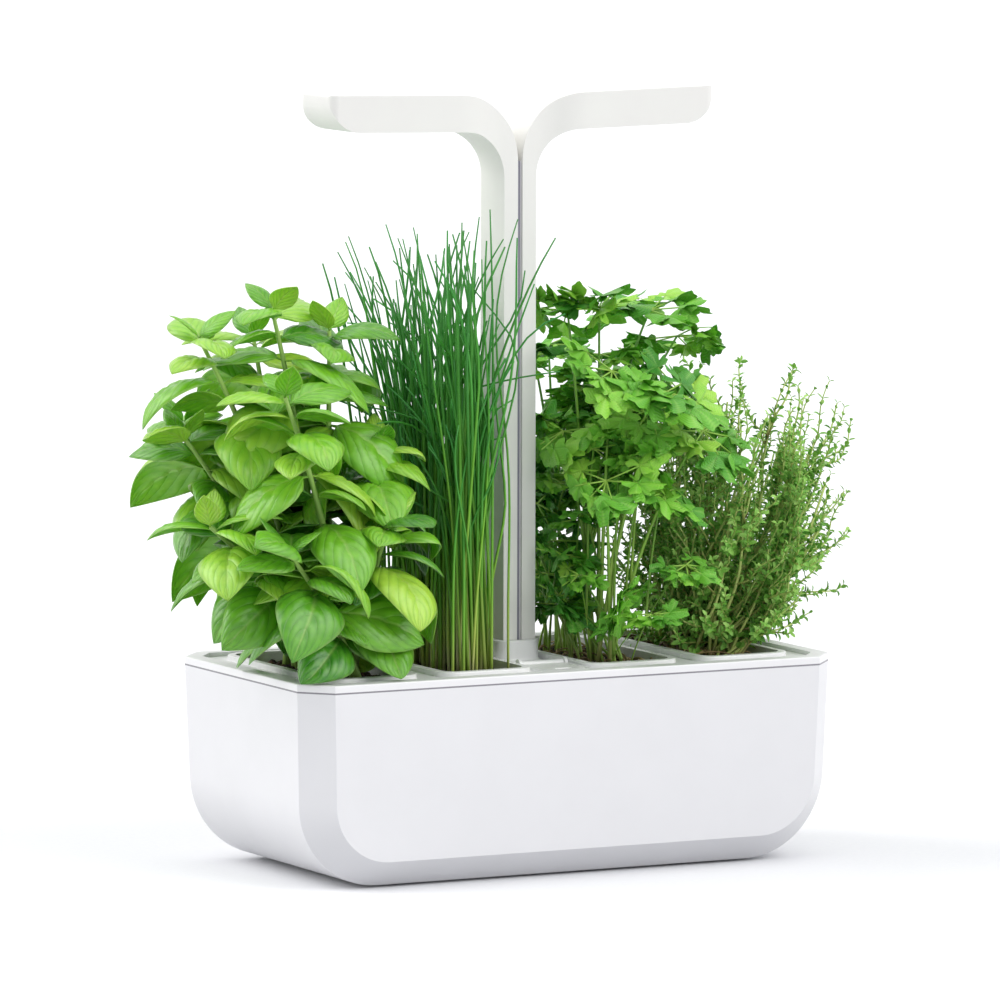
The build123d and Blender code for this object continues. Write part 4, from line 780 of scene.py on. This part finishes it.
# The shoots' tips fill the outer part of an egg, and its right side is pulled in low down.
ball = unit(rng.normal(0, 1, (shoots, 3)) + np.array([0.1, 0, 0.3]))
ball = ball * rng.uniform(0.55, 1.0, (shoots, 1)) ** 0.35
middle = np.array([0.148, 0.0, 0.190])
tip = middle + ball * np.array([0.054, 0.072, 0.062])
tip[:, 0] -= 0.6 * np.maximum(0.18 - tip[:, 2], 0) * (tip[:, 0] > middle[0])
main = arch(foot, tip, lean=0.62, climb=0.40, steps=path_steps)
# A twig leaves its shoot at a share of its length, half along it and half outwards, and turns upwards.
start, along = across(main, rng.uniform(0.12, 0.96, (shoots, twigs_each)))
start, along = start.reshape(-1, 3), along.reshape(-1, 3)
outward = unit(start - np.array([0.142, 0.0, 0.150]))
way = unit(0.75 * along + 0.5 * outward + rng.normal(0, 0.45, along.shape))
reach = rng.uniform(20, 46, len(way))[:, None] * MM
twig_tip = start + way * reach + np.array([0, 0, 1.0]) * reach * 0.28
twig_middle = start + way * reach * 0.6
s = np.linspace(0, 1, path_steps)[None, :, None]
twig = (1 - s) ** 2 * start[:, None] + 2 * s * (1 - s) * twig_middle[:, None] + s**2 * twig_tip[:, None]
thyme_paths = np.concatenate([main, twig])
sprigs = len(thyme_paths)
wave = np.sin(9 * s + rng.uniform(0, 6.3, (sprigs, 1, 3))) * np.minimum(6 * s, 1)
thyme_paths = thyme_paths + wave * np.array([1.5, 1.5, 0.6]) * MM
# The bush is rounder at its front right corner.
round_off = 0.45 * np.maximum(-thyme_paths[..., 1] - 0.012, 0) * (thyme_paths[..., 0] > middle[0])
thyme_paths[..., 0] -= np.minimum(round_off, np.abs(thyme_paths[..., 0] - middle[0]))
thyme_paths = kept_in(thyme_paths, *THYME_ROOM)
thick = np.repeat([1.05, 0.62], [shoots, sprigs - shoots])[:, None]
wire = thick * np.linspace(1.0, 0.55, path_steps)[None] * MM * rng.uniform(0.8, 1.2, (sprigs, 1))
stem_tubes, stem_tone = rings(thyme_paths, wire, 5), rng.uniform(0, 1, sprigs)
thyme_stems = surface("thyme_stems", stem_tubes, thyme_stem, stem_tone, closed=True)
# Pairs of leaves sit at even places along each sprig, each pair a quarter turn from the last.
first = np.repeat([0.16, 0.1], [shoots, sprigs - shoots])[:, None]
place = first + (1 - first) * np.linspace(0, 1, pairs)[None] + rng.normal(0, 0.008, (sprigs, pairs))
spot, ahead = across(thyme_paths, place)
side = unit(np.cross(ahead, np.array([0.3, 0.9, 0.2])))
turn = (np.pi / 2 * np.arange(pairs) + rng.uniform(0, np.pi, (sprigs, 1)))[..., None]
outward = np.cos(turn) * side + np.sin(turn) * np.cross(ahead, side)
outward = np.stack([outward, -outward], 2)
tilt = np.radians(rng.uniform(20, 55, (sprigs, pairs, 2, 1)))
leaf_ahead = (np.cos(tilt) * outward + np.sin(tilt) * ahead[:, :, None]).reshape(-1, 3)
leaf_over = (np.cos(tilt) * ahead[:, :, None] - np.sin(tilt) * outward).reshape(-1, 3)
leaf_foot = np.repeat(spot.reshape(-1, 3), 2, axis=0)
leaf_size = rng.uniform(4.6, 7.2, (sprigs, pairs, 2)) * np.linspace(1.0, 0.62, pairs)[None, :, None]
leaf_size = leaf_size.ravel() * MM
leaf_bend = rng.normal(-0.4, 0.25, len(leaf_size))
thyme_grid = blades(
    leaf_foot, leaf_ahead, leaf_over, leaf_size, leaf_bend, thyme_outline, fold=0.5, steps=(4, 3)
)
paler = np.tile(np.repeat(np.linspace(-0.1, 0.2, pairs), 2), sprigs)
leaf_tone = np.clip(rng.normal(0.45, 0.2, len(leaf_size)) + paler, 0, 1)
thyme_leaves = surface("thyme_leaves", thyme_grid, thyme_leaf, leaf_tone)
planted("thyme", thyme_stems, thyme_leaves)

# %% [markdown]
# ## Dead stalks at the foot
# Under parsley and thyme lies a tangle of last month's dry, straw-coloured stalks. Each is a low arch
# from one place on the soil to another one near it.

# %% Dead stalks
def litter(herb, count=70):
    """Thin arches between two places on a pot's soil, up to 7 mm high."""
    middle, half = pot_of(herb)
    spot = rng.uniform(-1, 1, (count, 2)) * (half - 5 * MM)
    far = np.clip(spot + rng.normal(0, 11 * MM, (count, 2)), -(half - 4 * MM), half - 4 * MM)
    s = np.linspace(0, 1, 8)[None, :, None]
    flat = (1 - s) * spot[:, None] + s * far[:, None]
    height = rng.uniform(4, 16, (count, 1, 1)) * MM * s * (1.15 - s) + 1.5 * MM
    path = np.concatenate([middle[:2] + flat, middle[2] + height], -1)
    thin = np.full((count, 8), 0.5 * MM) * rng.uniform(0.6, 1.3, (count, 1))
    tubes, tone = rings(path, thin, 5), rng.uniform(0, 1, count)
    planted(herb, surface(herb + "_dead_stalks", tubes, dry_straw, tone, closed=True))


litter("parsley")
litter("thyme")

# %% [markdown]
# ## Potting soil
# Peat with bark crumbs. The solid below gives the volume, and a thin crumbly crust on top of it gives
# the look. Each crumb is a small lumpy ball.

# %% Soil crust and crumbs
def peat():
    """Peat: crumbs of about 2 mm from black to rust, quite matt, with a rough surface."""
    material, add = blank("peat")
    place = add("TexCoord").outputs["Object"]
    crumbs = add("TexNoise", {"Vector": place, "Scale": 420.0, "Detail": 6.0, "Roughness": 0.7})
    tone = add("Attribute", attribute_name="tone").outputs["Fac"]
    tone = add("Math", [tone, 0.4], operation="MULTIPLY")
    mixed = add("Math", [crumbs, 0.8, tone], operation="MULTIPLY_ADD")
    colour = add("ValToRGB", [mixed], stops=[(0.3, "1A120D"), (0.55, "35251A"), (0.8, "5A4030")])
    bump = add("Bump", {"Height": crumbs, "Strength": 0.9, "Distance": 0.8 * MM})
    body = add("BsdfPrincipled", {"Base Color": colour, "Roughness": 0.9, "Normal": bump})
    add("OutputMaterial", {"Surface": body})
    return material


def crust(herb, material, crumbs=260, waves=14):
    """Soil surface: a plate cut to the pot's rounded corners, raised by the mean of some waves, and
    crumbs on it whose radius is size * (1 + 0.25 sin(3 t + a) sin(2 p + b))."""
    middle, half = pot_of(herb)
    a, b = np.meshgrid(np.linspace(-1, 1, 121), np.linspace(-1, 1, 49), indexing="ij")
    edge, corner = half - 0.4 * MM, 8 * MM
    flat = np.stack([b * edge[0], a * edge[1]], -1)
    past = np.maximum(np.abs(flat) - (edge - corner), 0)
    far = np.maximum(np.linalg.norm(past, axis=-1, keepdims=True) / corner, 1)
    flat = np.sign(flat) * (np.minimum(np.abs(flat), edge - corner) + past / far)
    wave = rng.normal(0, 1, (waves, 2)) * 260
    height = np.sin(flat @ wave.T + rng.uniform(0, 6.3, waves)).sum(-1) / waves * 3.0 * MM + 1.2 * MM
    height += rng.normal(0, 0.22 * MM, height.shape)
    height = np.maximum(height, 0.15 * MM)
    plate = np.concatenate([middle[:2] + flat, (middle[2] + height)[..., None]], -1)[None]
    top = surface(herb + "_soil_crust", plate, material)
    t = np.linspace(0, 2 * np.pi, 7, endpoint=False)[None, None, :]
    p = np.linspace(0, np.pi, 5)[None, :, None]
    phase = rng.uniform(0, 6.3, (2, crumbs, 1, 1))
    lumpy = 1 + 0.25 * np.sin(3 * t + phase[0]) * np.sin(2 * p + phase[1])
    radius = rng.uniform(0.7, 2.4, (crumbs, 1, 1)) * MM * lumpy
    ball = [radius * np.sin(p) * np.cos(t), radius * np.sin(p) * np.sin(t), 0.7 * radius * np.cos(p)]
    spot_x = rng.uniform(-1, 1, crumbs) * (half[0] - 3 * MM)
    spot_y = rng.uniform(-1, 1, crumbs) * (half[1] - 3 * MM)
    spot = middle + np.stack([spot_x, spot_y, np.full(crumbs, 1.4 * MM)], -1)
    # The columns run backwards, so that the crumbs' faces point outwards.
    balls = (spot[:, None, None] + np.stack(np.broadcast_arrays(*ball), -1))[:, :, ::-1]
    tone = rng.uniform(-0.5, 1, crumbs)
    lumps = surface(herb + "_soil_crumbs", balls, material, tone, closed=True)
    for piece in (top, lumps):
        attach(piece, herb + "_planting")


peat_soil = peat()
dress(peat_soil, "basil_soil", "chives_soil", "parsley_soil", "thyme_soil")
for herb in ("basil", "chives", "parsley", "thyme"):
    crust(herb, peat_soil)

# %% [markdown]
# ## Wick felt and the folded lead
# The wicks are grey felt. The lamp's ribbon lead lies folded like a concertina under the mast's foot.
# It is a strip whose path goes to and fro while it climbs.

# %% Felt and concertina
def felt():
    """Felt: tangled fibres in two greys, very matt. They are drawn 0.6 mm wide, so that they show."""
    material, add = blank("polyester_felt")
    place = add("TexCoord").outputs["Object"]
    fibres = add("TexNoise", {"Vector": place, "Scale": 1800.0, "Detail": 5.0, "Distortion": 1.5})
    bump = add("Bump", {"Height": fibres, "Strength": 0.7, "Distance": 0.3 * MM})
    colour = add("ValToRGB", [fibres], stops=[(0.35, "8F8F8C"), (0.65, "B9B9B5")])
    body = add("BsdfPrincipled", {"Base Color": colour, "Roughness": 0.95, "Normal": bump})
    add("OutputMaterial", {"Surface": body})
    return material


dress(felt(), "basil_wick", "chives_wick", "parsley_wick", "thyme_wick")
lead_low, lead_high = (np.array(v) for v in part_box("lamp_lead"))
print("lead box", lead_low.round(4), lead_high.round(4))
folds = 9
s = np.linspace(0, 1, folds * 16 + 1)[:, None]
# To and fro: a triangle wave whose corners are rounded a little by the factor 0.985.
zigzag = 2 / np.pi * np.arcsin(np.sin(np.pi * (folds * s - 0.5)) * 0.985)
swing = (lead_high[1] - lead_low[1]) / 2 - 1.0 * MM
depth = (lead_low[1] + lead_high[1]) / 2 + swing * zigzag
height = lead_low[2] + 0.6 * MM + s * (lead_high[2] - lead_low[2] - 1.2 * MM)
breadth = np.linspace(lead_low[0] + 0.5 * MM, lead_high[0] - 0.5 * MM, 7)[None]
strip = np.stack(np.broadcast_arrays(breadth, depth, height), -1)[None]
ribbon = surface("folded_ribbon", strip, ribbon_pvc, thickness=0.8 * MM)
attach(ribbon, "deck")
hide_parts("lamp_lead")
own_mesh(ribbon)

# %% [markdown]
# ## Light and floor
# Three very soft lights: one overhead, one at the left and a little behind, one at the front and a
# little to the right. So the side and the front are bright, and the bevel between them is a shade
# darker, which draws the tank's form. The floor is white and goes on into a white distance: the eye
# sees both paler than they light the planter, also in what is glossy or clear.

# %% Light, floor and finish
def seen_plainly(tree):
    """One for a ray from the camera, off something glossy or through something clear, else zero."""
    rays = node(tree, "LightPath").outputs
    clear = node(tree, "Math", [rays["Is Glossy Ray"], rays["Is Transmission Ray"]], operation="MAXIMUM")
    return node(tree, "Math", [rays["Is Camera Ray"], clear], operation="MAXIMUM")


def studio():
    """Floor, room light and three large soft lights."""
    white, add = blank("white_floor_paper")
    place = add("TexCoord").outputs["Object"]
    fibre = add("TexNoise", {"Vector": place, "Scale": 300.0, "Detail": 2.0})
    bright = add("ValToRGB", [fibre], stops=[(0.3, "FAFBFD"), (0.7, "FDFEFF")])
    eye = seen_plainly(white.node_tree)
    tint = add("Mix", {"Factor": eye, 6: linear("CACBCE"), 7: bright}, data_type="RGBA")
    body = add("BsdfPrincipled", {"Base Color": tint, "Roughness": 0.9, "Specular IOR Level": 0.2})
    add("OutputMaterial", {"Surface": body})
    reach = 30.0
    corners = np.array([[-1, -1, 0], [1, -1, 0], [-1, 1, 0], [1, 1, 0]]) * reach
    floor = surface("floor", corners.reshape(1, 2, 2, 3), white)
    world = bpy.data.worlds.new("room")
    world.use_nodes = True
    bpy.context.scene.world = world
    room = world.node_tree
    room.nodes.clear()
    plain = node(room, "Background", {"Color": linear("F3F5FD"), "Strength": 0.5})
    seen = node(room, "Background", {"Color": linear("FFFFFF"), "Strength": 1.0})
    choice = node(room, "MixShader", [seen_plainly(room), plain, seen])
    node(room, "OutputWorld", {"Surface": choice})
    for name, energy, degrees, towards in (
        ("top_light", 0.95, 80, (0.0, 0.0, 1.0)),
        ("side_light", 1.75, 50, (-0.72, 0.46, 0.52)),
        ("front_light", 1.4, 50, (0.44, -0.72, 0.54)),
    ):
        lamp = bpy.data.objects.new(name, bpy.data.lights.new(name, "SUN"))
        lamp.data.energy, lamp.data.angle = energy, np.radians(degrees)
        lamp.data.color = (1.0, 0.985, 0.96)
        lamp.rotation_euler = Vector(towards).to_track_quat("Z", "Y").to_euler()
        bpy.context.collection.objects.link(lamp)


studio()
